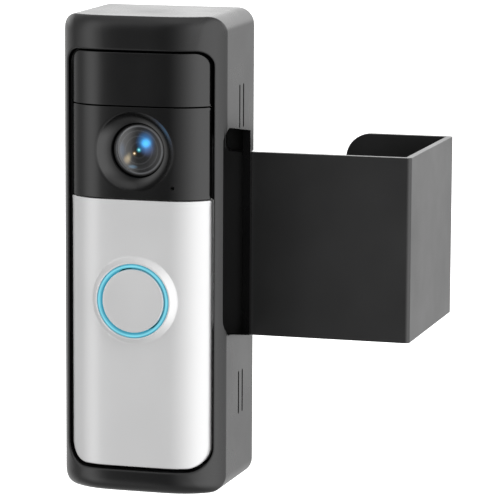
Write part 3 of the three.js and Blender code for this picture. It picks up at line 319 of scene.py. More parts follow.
@dataclass(frozen=True)
class PaintedReflectionLens(Finish):
    """Dark camera glass with painted reflections: soft coloured patches painted into its colour, which also
    glows a little.

    Attributes:
        centre: middle of the lens, in metres.
        radius: radius of the lens.
        glints: the painted reflection patches, painted one over another.
    """

    centre: Point = (0.0, 0.0, 0.0)
    radius: float = 0.0
    glints: tuple[Glint, ...] = ()

    def paint(self, tree: NodeTree, shader: bpy.types.Node, place: bpy.types.NodeSocket) -> None:
        """Adds the painted reflection patches and the painted rings of the elements behind them, and makes
        the colour glow as painted light.

        Args:
            tree: the material's tree.
            shader: its Principled shader.
            place: the coordinates to use.
        """
        colour = self.rings(tree, place)
        for glint in self.glints:
            colour = self.add_glint(tree, place, colour, glint)
        tree.link(colour, shader.inputs["Base Color"])
        # painted light: the lens's whole colour, patches and rings, also glows, though the glass is no lamp
        tree.link(colour, shader.inputs["Emission Color"])
        shader.inputs["Emission Strength"].default_value = 0.55

    def offset(self, tree: NodeTree, place: bpy.types.NodeSocket, x: float, z: float,
               squash: float) -> bpy.types.NodeSocket:
        """Distance from a point beside the lens axis.

        Args:
            tree: the material's tree.
            place: the coordinates.
            x: how far right of the axis the point lies, in metres.
            z: how far above it.
            squash: height of a line of equal distance as a share of its width.

        Returns:
            The distance.
        """
        shift = tree.add("ShaderNodeMapping")
        shift.inputs["Location"].default_value = (-self.centre[0] - x, 0.0, (-self.centre[2] - z) / squash)
        shift.inputs["Scale"].default_value = (1.0, 0.0, 1.0 / squash)
        tree.link(place, shift.inputs["Vector"])
        length = tree.add("ShaderNodeVectorMath", operation="LENGTH")
        tree.link(shift.outputs["Vector"], length.inputs[0])
        return length.outputs["Value"]

    def rings(self, tree: NodeTree, place: bpy.types.NodeSocket) -> bpy.types.NodeSocket:
        """Base colour: near black, with faint grey rings painted where inner elements end, as painted
        reflections of their edges.

        Args:
            tree: the material's tree.
            place: the coordinates.

        Returns:
            The colour.
        """
        away = self.offset(tree, place, 0.0, 0.0, 1.0)
        steps = ((0.0, 0.003), (0.26, 0.004), (0.32, 0.018), (0.37, 0.008), (0.52, 0.010), (0.56, 0.03),
                 (0.60, 0.012), (0.74, 0.018), (0.78, 0.04), (0.81, 0.014), (0.90, 0.01), (0.955, 0.10),
                 (0.985, 0.06), (1.0, 0.01))
        scale = tree.add("ShaderNodeMapRange")
        scale.inputs["From Max"].default_value = self.radius
        tree.link(away, scale.inputs["Value"])
        cool = [(at, (level, level * 1.02, level * 1.08)) for at, level in steps]
        return tree.ramp(scale.outputs["Result"], cool)

    def add_glint(self, tree: NodeTree, place: bpy.types.NodeSocket, under: bpy.types.NodeSocket,
                  glint: Glint) -> bpy.types.NodeSocket:
        """Adds one painted reflection patch over what is there.

        Args:
            tree: the material's tree.
            place: the coordinates.
            under: the colour so far.
            glint: the patch.

        Returns:
            The colour with the patch added.
        """
        away = self.offset(tree, place, glint.x, glint.z, glint.squash)
        fade = tree.add("ShaderNodeMapRange", interpolation_type="SMOOTHERSTEP")
        fade.inputs["From Max"].default_value = glint.radius
        fade.inputs["To Min"].default_value = 1.0
        fade.inputs["To Max"].default_value = 0.0
        tree.link(away, fade.inputs["Value"])
        mix = tree.add("ShaderNodeMix", data_type="RGBA", blend_type="ADD")
        mix.inputs[7].default_value = (*glint.colour, 1.0)
        tree.link(fade.outputs["Result"], mix.inputs[0])
        tree.link(under, mix.inputs[6])
        return mix.outputs[2]


@dataclass(frozen=True)
class Circuit(Finish):
    """Green solder mask with a net of copper tracks under it.

    Attributes:
        pitch: distance between tracks, in metres.
        track: colour of the tracks.
    """

    pitch: float = 0.0016
    track: Point = (0.03, 0.2, 0.08)

    def tint(self, tree: NodeTree, shader: bpy.types.Node, drift: bpy.types.NodeSocket) -> None:
        """Colours the board with blocky tracks, whatever the drift.

        Args:
            tree: the material's tree.
            shader: its Principled shader.
            drift: a slow noise, which the tracks don't follow.
        """
        where = tree.add("ShaderNodeTexCoord")
        cells = tree.add("ShaderNodeTexVoronoi", feature="DISTANCE_TO_EDGE", Scale=1.0 / self.pitch)
        tree.link(where.outputs["Object"], cells.inputs["Vector"])
        tracks = tree.ramp(cells.outputs["Distance"], ((0.05, self.track), (0.12, self.colour)))
        tree.link(tracks, shader.inputs["Base Color"])


HOUSING_PLASTIC = Finish("satin_black_housing", "housing_plastic", (0.0034, 0.0034, 0.0036), roughness=0.27,
                         grain=0.00035, relief=0.000002)
CAVITY_PLASTIC = Finish("dark_moulding", "inner_plastic", (0.003, 0.003, 0.003), roughness=0.75, specular=0.2,
                        grain=0.0005, relief=0.00001)
FACE_BLACK = Finish("smooth_black_face", "gloss_black", (0.0030, 0.0030, 0.0032), roughness=0.22,
                    grain=0.0009, relief=0.0000005)
SATIN_NICKEL = Finish("satin_nickel_coat", "satin_nickel", (0.645, 0.645, 0.647), roughness=0.32,
                      metallic=0.18, grain=0.00025, relief=0.000001, tone=0.012)
POWDER_COAT = Finish("black_powder_coat", "bracket_paint", (0.019, 0.019, 0.0193), roughness=0.33,
                     grain=0.00045, relief=0.000003)
PAD_RUBBER = Finish("black_foam_rubber", "pad_rubber", (0.012, 0.012, 0.012), roughness=0.95, specular=0.25,
                    grain=0.0004, relief=0.00006, tone=0.2)
PLATED_STEEL = Finish("zinc_plated_steel", "plated_steel", (0.56, 0.56, 0.53), roughness=0.3, metallic=1.0,
                      grain=0.0002, relief=0.000003, tone=0.08)
SHIELD_STEEL = Finish("tinned_shield", "shield_steel", (0.5, 0.5, 0.48), roughness=0.35, metallic=1.0,
                      grain=0.0005, relief=0.000005)
SILICONE = Finish("milky_silicone", "silicone", (0.55, 0.55, 0.52), roughness=0.6, specular=0.35,
                  grain=0.0006, relief=0.000008)
BOARD = Circuit("green_solder_mask", "circuit_board", (0.008, 0.08, 0.03), roughness=0.35, coat=0.3)
CHIP = Finish("moulded_component", "chip_black", (0.015, 0.015, 0.017), roughness=0.5, grain=0.0003)
BATTERY = Finish("battery_wrap", "battery_wrap", (0.05, 0.16, 0.42), roughness=0.3, coat=0.4, grain=0.004)
COPPER = Finish("copper_foil", "copper_foil", (0.62, 0.28, 0.12), roughness=0.35, metallic=0.9)
IR_GLASS = Finish("clear_epoxy", "ir_glass", (0.09, 0.05, 0.12), roughness=0.08, coat=1.0)


# -------------------------------------------------------------------------------------------- meshes


def new_object(name: str, mesh: bpy.types.Mesh, smooth_angle: float = SMOOTH_ANGLE) -> bpy.types.Object:
    """Links a mesh as an object at the origin, with its doubles merged and its faces pointing out.

    Args:
        name: the piece's name.
        mesh: its mesh, in metres.
        smooth_angle: faces that meet at less than this, in degrees, shade smoothly.

    Returns:
        The new object.
    """
    work = bmesh.new()
    work.from_mesh(mesh)
    bmesh.ops.remove_doubles(work, verts=work.verts, dist=1e-7)
    bmesh.ops.recalc_face_normals(work, faces=work.faces)
    work.to_mesh(mesh)
    work.free()
    obj = bpy.data.objects.new(name, mesh)
    bpy.context.scene.collection.objects.link(obj)
    shade_by_angle(mesh, smooth_angle)
    return obj


def shade_by_angle(mesh: bpy.types.Mesh, angle: float) -> None:
    """Shades a mesh smoothly except across edges sharper than the angle, in degrees."""
    mesh.polygons.foreach_set("use_smooth", [True] * len(mesh.polygons))
    mesh.set_sharp_from_angle(angle=math.radians(angle))


def loft(name: str, loops: Sequence[Sequence[Point]], closed: bool = True, cap: bool = False,
         smooth_angle: float = SMOOTH_ANGLE) -> bpy.types.Object:
    """Skins a row of loops that have the same number of points.

    Args:
        name: the piece's name.
        loops: the loops, each closed on itself.
        closed: the last loop joins the first, so the piece is a closed ring.
        cap: the first and last loops are filled, so the piece is a closed plug.
        smooth_angle: edges sharper than this stay sharp.

    Returns:
        The new object.
    """
    count = len(loops[0])
    points = [p for loop in loops for p in loop]
    faces = []
    rows = len(loops)
    for row in range(rows if closed else rows - 1):
        near, far = row * count, ((row + 1) % rows) * count
        for i in range(count):
            j = (i + 1) % count
            faces.append((near + i, near + j, far + j, far + i))
    if cap:
        faces.append(tuple(range(count)))
        faces.append(tuple(reversed(range((rows - 1) * count, rows * count))))
    mesh = bpy.data.meshes.new(name)
    mesh.from_pydata(points, [], faces)
    return new_object(name, mesh, smooth_angle)


def turned(name: str, profile: Sequence[Flat], centre: Point, steps: int = 96, closed: bool = False,
           smooth_angle: float = SMOOTH_ANGLE) -> bpy.types.Object:
    """Spins a profile about an axis that runs along Y.

    Args:
        name: the piece's name.
        profile: points (radius, distance along the axis), in metres.
        centre: where the axis passes.
        steps: how many steps make a full turn.
        closed: the profile closes on itself, as a ring's does; otherwise it starts and ends on the axis.
        smooth_angle: edges sharper than this stay sharp.

    Returns:
        The new object.
    """
    loops = []
    for radius, along in profile:
        loop = []
        for i in range(steps):
            angle = 2 * math.pi * i / steps
            local = (radius * math.cos(angle), along, radius * math.sin(angle))
            loop.append(tuple(c + d for c, d in zip(centre, local)))
        loops.append(loop)
    return loft(name, loops, closed=closed, cap=not closed, smooth_angle=smooth_angle)


def between(a: Flat, b: Flat, share: float) -> Flat:
    """The point at a share of the way from a to b."""
    return a[0] + (b[0] - a[0]) * share, a[1] + (b[1] - a[1]) * share


def round_nose(inner: float, outer: float, front: float, back: float, edge: float, steps: int) -> list[Flat]:
    """Profile of a tube whose front edges are rounded.

    Args:
        inner: inner radius.
        outer: outer radius.
        front: level of its front.
        back: level of its rear.
        edge: radius of the rounding.
        steps: steps round each edge.

    Returns:
        The profile (radius, distance along the axis).
    """
    turn = [math.radians(90 * step / steps) for step in range(steps + 1)]
    profile = [(inner, back), (inner, front + edge)]
    profile += [(inner + edge * (1 - math.cos(a)), front + edge * (1 - math.sin(a))) for a in turn[1:]]
    profile += [(outer - edge * (1 - math.sin(a)), front + edge * (1 - math.cos(a))) for a in turn]
    return profile + [(outer, back)]


def rounded_outline(centre: Flat, width: float, height: float, upper: float, lower: float,
                    per_side: Flat = (16, 44), per_corner: int = 10) -> list[Flat]:
    """Points round a rectangle with round corners, counter-clockwise from the lower left.

    Args:
        centre: its middle (x, z).
        width: overall width.
        height: overall height.
        upper: radius of the two upper corners.
        lower: radius of the two lower corners.
        per_side: steps along a short and a long side.
        per_corner: steps round a corner.

    Returns:
        The points (x, z).
    """
    left, right = centre[0] - width / 2, centre[0] + width / 2
    bottom, top = centre[1] - height / 2, centre[1] + height / 2
    corners = (
        (right - lower, bottom + lower, lower, -90.0, per_side[0]),
        (right - upper, top - upper, upper, 0.0, per_side[1]),
        (left + upper, top - upper, upper, 90.0, per_side[0]),
        (left + lower, bottom + lower, lower, 180.0, per_side[1]),
    )
    points: list[Flat] = []
    previous = (left + lower, bottom)
    for cx, cz, radius, start, steps in corners:
        first = (cx + radius * math.cos(math.radians(start)), cz + radius * math.sin(math.radians(start)))
        for i in range(int(steps)):
            points.append(between(previous, first, i / steps))
        for i in range(per_corner):
            angle = math.radians(start + 90.0 * i / per_corner)
            points.append((cx + radius * math.cos(angle), cz + radius * math.sin(angle)))
        end = math.radians(start + 90.0)
        previous = (cx + radius * math.cos(end), cz + radius * math.sin(end))
    return points


def outward(points: Sequence[Flat]) -> list[Flat]:
    """Unit normals of a counter-clockwise outline, pointing out of it.

    Args:
        points: the outline.

    Returns:
        One normal for each point.
    """
    normals = []
    count = len(points)
    for i in range(count):
        ax, az = points[i - 1]
        bx, bz = points[(i + 1) % count]
        dx, dz = bx - ax, bz - az
        length = math.hypot(dx, dz) or 1.0
        normals.append((dz / length, -dx / length))
    return normals


def shoulder(distance: float, radius: float) -> float:
    """How far a round shoulder has fallen back at a distance past its start."""
    reach = min(max(distance, 0.0), radius * 0.995)
    return radius - math.sqrt(radius * radius - reach * reach)


def bevel(obj: bpy.types.Object, width: float, segments: int = 2, angle: float = 35.0) -> None:
    """Rounds every edge sharper than an angle and applies the result.

    Args:
        obj: the piece.
        width: width of the rounding, in metres.
        segments: its segments.
        angle: the least angle that is rounded, in degrees.
    """
    change = obj.modifiers.new("edges", "BEVEL")
    change.width = width
    change.segments = segments
    change.limit_method = "ANGLE"
    change.angle_limit = math.radians(angle)
    change.use_clamp_overlap = True
    apply_modifiers(obj)
    settle_normals(obj, angle)


def settle_normals(obj: bpy.types.Object, angle: float) -> None:
    """Shades a piece smoothly below an angle, with its large faces kept flat.

    Args:
        obj: the piece.
        angle: the least angle that stays sharp, in degrees.
    """
    shade_by_angle(obj.data, angle)
    change = obj.modifiers.new("normals", "WEIGHTED_NORMAL")
    change.mode = "FACE_AREA"
    change.weight = 100
    change.keep_sharp = True
    apply_modifiers(obj)


def apply_modifiers(obj: bpy.types.Object) -> None:
    """Replaces a piece's mesh by its evaluated mesh and removes its modifiers.

    Args:
        obj: the piece.
    """
    graph = bpy.context.evaluated_depsgraph_get()
    graph.update()
    mesh = bpy.data.meshes.new_from_object(obj.evaluated_get(graph), depsgraph=graph)
    obj.modifiers.clear()
    old = obj.data
    obj.data = mesh
    mesh.name = obj.name
    bpy.data.meshes.remove(old)


def carve(obj: bpy.types.Object, tools: Iterable[bpy.types.Object]) -> None:
    """Cuts tools out of a piece and deletes them.

    Args:
        obj: the piece.
        tools: closed meshes, cut one after another.
    """
    for tool in tools:
        change = obj.modifiers.new("cut", "BOOLEAN")
        change.operation = "DIFFERENCE"
        change.solver = "EXACT"
        change.object = tool
        apply_modifiers(obj)
        bpy.data.objects.remove(tool)


def prism(name: str, outline: Sequence[Flat], low: float, high: float,
          axis: Axis = Axis.Y) -> bpy.types.Object:
    """A straight block with a flat outline.

    Args:
        name: its name.
        outline: points (x, z), or (y, z) where the block runs along X.
        low: where it starts along its axis.
        high: where it ends.
        axis: the axis it runs along.

    Returns:
        The new object.
    """
    def place(a: float, b: float, along: float) -> Point:
        """One corner of the block."""
        return (along, a, b) if axis is Axis.X else (a, along, b)

    loops = [[place(a, b, low) for a, b in outline], [place(a, b, high) for a, b in outline]]
    return loft(name, loops, closed=False, cap=True)


def refined_copy(node: str, name: str, edge: float, segments: int = 2) -> bpy.types.Object:
    """A copy of a CAD node with flats merged and every edge rounded.

    Args:
        node: the CAD node.
        name: the new piece's name.
        edge: width of the edge rounding, in metres.
        segments: segments of the rounding.

    Returns:
        The new piece.
    """
    work = bmesh.new()
    work.from_mesh(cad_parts[node].data)
    bmesh.ops.remove_doubles(work, verts=work.verts, dist=2e-6)
    bmesh.ops.dissolve_limit(work, angle_limit=math.radians(1.0), verts=work.verts, edges=work.edges)
    mesh = bpy.data.meshes.new(name)
    work.to_mesh(mesh)
    work.free()
    obj = new_object(name, mesh)
    obj.data.materials.clear()
    bevel(obj, edge, segments)
    return obj


def dress(obj: bpy.types.Object, finish: Finish, body: str, *nodes: str) -> bpy.types.Object:
    """Gives a finished piece its material, its body and the CAD nodes that it stands for.

    Args:
        obj: the piece.
        finish: its finish.
        body: the CAD body that it rides on.
        nodes: CAD nodes that it replaces.

    Returns:
        The piece.
    """
    if not obj.data.materials:
        obj.data.materials.append(finish.material())
    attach(obj, body)
    if nodes:
        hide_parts(*nodes)
    LOG.info("%s: %d faces on %s", obj.name, len(obj.data.polygons), body)
    return obj


def middle(node: str) -> Vector:
    """Middle of a CAD node's box."""
    low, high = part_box(node)
    return (low + high) / 2


def on_axis(node: str) -> Point:
    """Where the axis of a round CAD node passes, at y = 0."""
    centre = middle(node)
    return centre.x, 0.0, centre.z


# -------------------------------------------------------------------------------------------- repeats


class InstanceTree:
    """A geometry node tree that sets copies of one small mesh on a row of points."""

    NAME = "repeat_on_points"

    def __init__(self) -> None:
        """Builds the tree once, with its named inputs."""
        self.tree = bpy.data.node_groups.get(self.NAME) or self.build()

    def build(self) -> bpy.types.NodeTree:
        """Makes the tree: points in, copies out, realised and given a material.

        Returns:
            The finished tree.
        """
        tree = bpy.data.node_groups.new(self.NAME, "GeometryNodeTree")
        face = tree.interface
        face.new_socket("Geometry", in_out="INPUT", socket_type="NodeSocketGeometry")
        face.new_socket("Copy", in_out="INPUT", socket_type="NodeSocketObject")
        face.new_socket("Size", in_out="INPUT", socket_type="NodeSocketFloat")
        face.new_socket("Turn Seed", in_out="INPUT", socket_type="NodeSocketInt")
        face.new_socket("Turn Range", in_out="INPUT", socket_type="NodeSocketFloat")
        face.new_socket("Material", in_out="INPUT", socket_type="NodeSocketMaterial")
        face.new_socket("Geometry", in_out="OUTPUT", socket_type="NodeSocketGeometry")
        nodes, links = tree.nodes, tree.links
        start = nodes.new("NodeGroupInput")
        end = nodes.new("NodeGroupOutput")
        info = nodes.new("GeometryNodeObjectInfo")
        info.inputs["As Instance"].default_value = True
        turn = nodes.new("FunctionNodeRandomValue")
        turn.data_type = "FLOAT"
        axis = nodes.new("ShaderNodeCombineXYZ")
        spread = nodes.new("GeometryNodeInstanceOnPoints")
        realise = nodes.new("GeometryNodeRealizeInstances")
        paint = nodes.new("GeometryNodeSetMaterial")
        links.new(start.outputs["Geometry"], spread.inputs["Points"])
        links.new(start.outputs["Copy"], info.inputs["Object"])
        links.new(info.outputs["Geometry"], spread.inputs["Instance"])
        links.new(start.outputs["Size"], spread.inputs["Scale"])
        links.new(start.outputs["Turn Seed"], turn.inputs["Seed"])
        links.new(start.outputs["Turn Range"], turn.inputs[3])
        links.new(turn.outputs[1], axis.inputs["Y"])
        links.new(axis.outputs["Vector"], spread.inputs["Rotation"])
        links.new(spread.outputs["Instances"], realise.inputs["Geometry"])
        links.new(realise.outputs["Geometry"], paint.inputs["Geometry"])
        links.new(start.outputs["Material"], paint.inputs["Material"])
        links.new(paint.outputs["Geometry"], end.inputs["Geometry"])
        return tree

    def spread(self, name: str, copy: bpy.types.Object, points: Sequence[Point], finish: Finish,
               turn: float = 0.0, seed: int = 3) -> bpy.types.Object:
        """Sets copies of a small mesh on points and returns them as one plain piece.

        Args:
            name: the piece's name.
            copy: the small mesh, modelled about the origin; it is deleted afterwards.
            points: where the copies go, in metres.
            finish: the copies' finish.
            turn: largest random turn of a copy about Y, in radians.
            seed: seed of the random turns.

        Returns:
            The piece.
        """
        mesh = bpy.data.meshes.new(name)
        mesh.from_pydata(list(points), [], [])
        obj = bpy.data.objects.new(name, mesh)
        bpy.context.scene.collection.objects.link(obj)
        change = obj.modifiers.new("repeat", "NODES")
        change.node_group = self.tree
        sockets = {s.name: s.identifier for s in self.tree.interface.items_tree if s.in_out == "INPUT"}
        change[sockets["Copy"]] = copy
        change[sockets["Size"]] = 1.0
        change[sockets["Turn Seed"]] = seed
        change[sockets["Turn Range"]] = turn
        change[sockets["Material"]] = finish.material()
        apply_modifiers(obj)
        bpy.data.objects.remove(copy)
        shade_by_angle(obj.data, SMOOTH_ANGLE)
        return obj


# -------------------------------------------------------------------------------------------- housing


@dataclass
class CrownedFront:
    """A front surface that is nearly flat across its middle and falls away over round shoulders.

    Attributes:
        centre: middle of the front (x, z).
        half_width: half the overall width.
        half_height: half the overall height.
        crown_y: the foremost level.
        crown: how far the middle has fallen where the shoulders start.
        flat: half width of the middle.
        edge_fall: how far the surface has fallen at its left and right edges.
        top_round: height and radius of the round along the top, or zeros.
        bottom_round: the same along the bottom.
    """

    centre: Flat
    half_width: float
    half_height: float
    crown_y: float
    crown: float
    flat: float
    edge_fall: float
    top_round: Flat = (0.0, 0.0)
    bottom_round: Flat = (0.0, 0.0)

    def across(self, distance: float) -> float:
        """Fall beside the middle line: a quartic crown, then an arc that carries on its slope.

        Args:
            distance: distance from the middle line.

        Returns:
            How far the surface has fallen.
        """
        if distance <= self.flat:
            return self.crown * (distance / self.flat) ** 4
        slope = math.atan(4 * self.crown / self.flat)
        run, rise = self.half_width - self.flat, self.edge_fall - self.crown
        radius = (run * run + rise * rise) / (2 * (rise * math.cos(slope) - run * math.sin(slope)))
        sine = min(math.sin(slope) + (distance - self.flat) / radius, 0.999)
        return self.crown + radius * (math.cos(slope) - math.sqrt(1 - sine * sine))

    def level(self, x: float, z: float) -> float:
        """Y of the surface at a point of the front view.

        Args:
            x: the point's x.
            z: its z.

        Returns:
            The surface's y there.
        """
        rise = z - self.centre[1]
        run, radius = self.top_round if rise > 0 else self.bottom_round
        past = run - (self.half_height - abs(rise))
        fall = shoulder(past, radius) if past > 0 else 0.0
        return self.crown_y + fall + self.across(abs(x - self.centre[0]))


@dataclass
class Housing:
    """The moulded housing: an open-backed shell with a round-cornered opening, a side port and slits.

    Attributes:
        wall: thickness of the walls.
        corner: radius of the outer corners seen from the front.
        draft: how much taller the housing is at the wall than at its front, at each end.
        opening_gap: slot between the doorbell and the opening.
        top_gap: the same slot above the doorbell.
        bead: rounding of the opening's edge.
        lip: how far the inner lip reaches into the slot.
        crown: fall of the front's middle.
        flat: half width of the middle.
        edge_fall: fall of the front at its left and right edges.
        top_round: height and radius of the round along the top of the front.
        bottom_round: the same along the bottom.
        rim: rounding where the front meets the sides.
        slit: width, length and pitch of the slits.
        slit_height: middle of each pair above or below the housing's middle.
        slit_rear: rear slit, forward from the rear plane.
        port: side port as front, rail, top front, top rear, bottom front, bottom rear and corner.
        rail: depth of the rail behind the port.
        cut_edge: rounding of the edges of port and slits.
    """

    wall: float = 2.4 * MM
    corner: float = 5.0 * MM
    draft: float = 0.4 * MM
    opening_gap: float = 1.0 * MM
    top_gap: float = 0.4 * MM
    bead: float = 0.8 * MM
    lip: float = 0.3 * MM
    crown: float = 0.2 * MM
    flat: float = 10.6 * MM
    edge_fall: float = 11.04 * MM
    top_round: Flat = (5.4 * MM, 6.7 * MM)
    bottom_round: Flat = (5.0 * MM, 5.0 * MM)
    rim: float = 0.35 * MM
    slit: Point = (1.1 * MM, 13.1 * MM, 4.0 * MM)
    slit_height: float = 43.2 * MM
    slit_rear: float = 11.7 * MM
    port: tuple[float, ...] = (30.5 * MM, 3.9 * MM, 38.6 * MM, 34.8 * MM, -22.9 * MM, -27.7 * MM, 4.5 * MM)
    rail: float = 1.6 * MM
    cut_edge: float = 0.18 * MM
    low: Vector = field(default_factory=lambda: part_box("housing")[0])
    high: Vector = field(default_factory=lambda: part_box("housing")[1])

    def front(self) -> CrownedFront:
        """The front surface, from the CAD node's box."""
        centre = (self.low + self.high) / 2
        half = (self.high - self.low) / 2
        return CrownedFront((centre.x, centre.z), half.x, half.z - self.draft, self.low.y, self.crown,
                            self.flat, self.edge_fall, self.top_round, self.bottom_round)

    def opening(self, gap: float) -> list[Flat]:
        """Outline round the doorbell's face with a gap.

        Args:
            gap: the gap at the sides and below.

        Returns:
            The outline (x, z).
        """
        low = Vector(map(min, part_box("silver_faceplate")[0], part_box("sensor_window")[0]))
        high = Vector(map(max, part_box("silver_faceplate")[1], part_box("sensor_window")[1]))
        above = gap + self.top_gap - self.opening_gap
        centre = ((low.x + high.x) / 2, (low.z + high.z + above - gap) / 2)
        return rounded_outline(centre, high.x - low.x + 2 * gap, high.z - low.z + gap + above,
                               UPPER_CORNER + above, LOWER_CORNER + gap)

    def outline(self, inset: float, draft: float = 0.0) -> list[Flat]:
        """Outline of the housing seen from the front.

        Args:
            inset: how far inside the outer edge it runs.
            draft: how much taller it is at each end.

        Returns:
            The outline (x, z).
        """
        face = self.front()
        radius = max(self.corner - inset, 0.5 * MM)
        width, height = 2 * (face.half_width - inset), 2 * (face.half_height + draft - inset)
        return rounded_outline(face.centre, width, height, radius, radius)

    def shell(self) -> bpy.types.Object:
        """The shell as one ring of loops, before port and slits are cut.

        Returns:
            The uncut shell.
        """
        face = self.front()
        rear = self.high.y
        lip_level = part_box("rear_case")[0].y - 0.3 * MM
        edge = self.opening(self.opening_gap)
        lip = self.opening(self.opening_gap - self.lip)
        outer = self.outline(0.0)
        inner = self.outline(self.wall)
        loops = [
            [(x, rear, z) for x, z in inner],
            [(x, lip_level, z) for x, z in inner],
            [(x, lip_level, z) for x, z in lip],
            [(x, lip_level - 1.2 * MM, z) for x, z in lip],
            [(x, lip_level - 1.2 * MM, z) for x, z in edge],
        ]
        normals = outward(edge)
        for step in range(5):
            angle = math.radians(90.0 * step / 4)
            out = self.bead * (1 - math.cos(angle))
            back = self.bead * (1 - math.sin(angle))
            loops.append([(x + nx * out, face.level(x + nx * out, z + nz * out) + back, z + nz * out)
                          for (x, z), (nx, nz) in zip(edge, normals)])
        start = [(x + nx * self.bead, z + nz * self.bead) for (x, z), (nx, nz) in zip(edge, normals)]
        near = self.outline(self.rim)
        rings = 20
        for step in range(1, rings + 1):
            share = math.sin(step / rings * math.pi / 2)
            ring = [between(a, b, share) for a, b in zip(start, near)]
            loops.append([(x, face.level(x, z), z) for x, z in ring])
        for t in (0.25, 0.5, 0.75, 1.0):
            loop = []
            for a, b in zip(near, outer):
                first, corner = face.level(*a), face.level(*b)
                x, z = between(a, b, 1 - (1 - t) ** 2)
                y = (1 - t) ** 2 * first + 2 * t * (1 - t) * corner + t * t * (corner + self.rim)
                loop.append((x, y, z))
            loops.append(loop)
        for step in (0.35 * MM, 0.9 * MM):
            loops.append([(x, face.level(x, z) + self.rim + step, z) for x, z in outer])
        for inset, ahead in ((0.0, 0.8), (0.0, 0.4), (0.1, 0.1), (0.4, 0.0)):
            loops.append([(x, rear - ahead * MM, z) for x, z in self.outline(inset * MM, self.draft)])
        return loft("housing_shell", loops, smooth_angle=30.0)

    def port_outline(self) -> list[Flat]:
        """Outline (y, z) of the side port, its two front corners rounded.

        Returns:
            The outline.
        """
        rear = self.high.y
        front, rail, top_front, top_rear, low_front, low_rear, corner = self.port
        share = corner / (front - rail)
        points = [(rear - rail, low_rear), (rear - rail, top_rear)]
        steps = 8
        upper = top_front + (top_rear - top_front) * share
        lower = low_front + (low_rear - low_front) * share
        for i in range(steps + 1):
            angle = math.pi / 2 * i / steps
            points.append((rear - front + corner * (1 - math.sin(angle)),
                           top_front - corner + (upper - top_front + corner) * math.cos(angle)))
        for i in range(steps + 1):
            angle = math.pi / 2 * i / steps
            points.append((rear - front + corner * (1 - math.cos(angle)),
                           low_front + corner - (corner - lower + low_front) * math.sin(angle)))
        return points

    def cutters(self) -> list[bpy.types.Object]:
        """The tools that cut the port, the notch behind its rail and the slits.

        Returns:
            The tools.
        """
        inside, outside = self.high.x - self.wall - 1 * MM, self.high.x + 1 * MM
        rear = self.high.y
        arm_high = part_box("arm_door_pad")[1].z + 2.5 * MM
        tools = [prism("port_tool", self.port_outline(), inside, outside, axis=Axis.X)]
        front = rear - self.port[1] + self.rail
        reach = arm_high + 0.3 * MM
        notch = [(front, -reach), (rear + 1 * MM, -reach), (rear + 1 * MM, reach), (front, reach)]
        tools.append(prism("notch_tool", notch, inside, outside, axis=Axis.X))
        width, length, pitch = self.slit
        for side in (1, -1):
            centre = self.front().centre[0]
            near = centre + side * (self.front().half_width - self.wall - 1 * MM)
            far = centre + side * (self.front().half_width + 1 * MM)
            for z in (self.slit_height, -self.slit_height):
                for row in (0, 1):
                    y = rear - self.slit_rear - row * pitch
                    outline = rounded_outline((y, z), width, length, width * 0.48, width * 0.48, (2, 4), 5)
                    tools.append(prism("slit_tool", outline, min(near, far), max(near, far), axis=Axis.X))
        return tools

    def build(self) -> None:
        """Makes the housing."""
        shell = self.shell()
        carve(shell, self.cutters())
        bevel(shell, self.cut_edge, 2, 40.0)
        dress(shell, HOUSING_PLASTIC, BODY, "housing")


# -------------------------------------------------------------------------------------------- doorbell


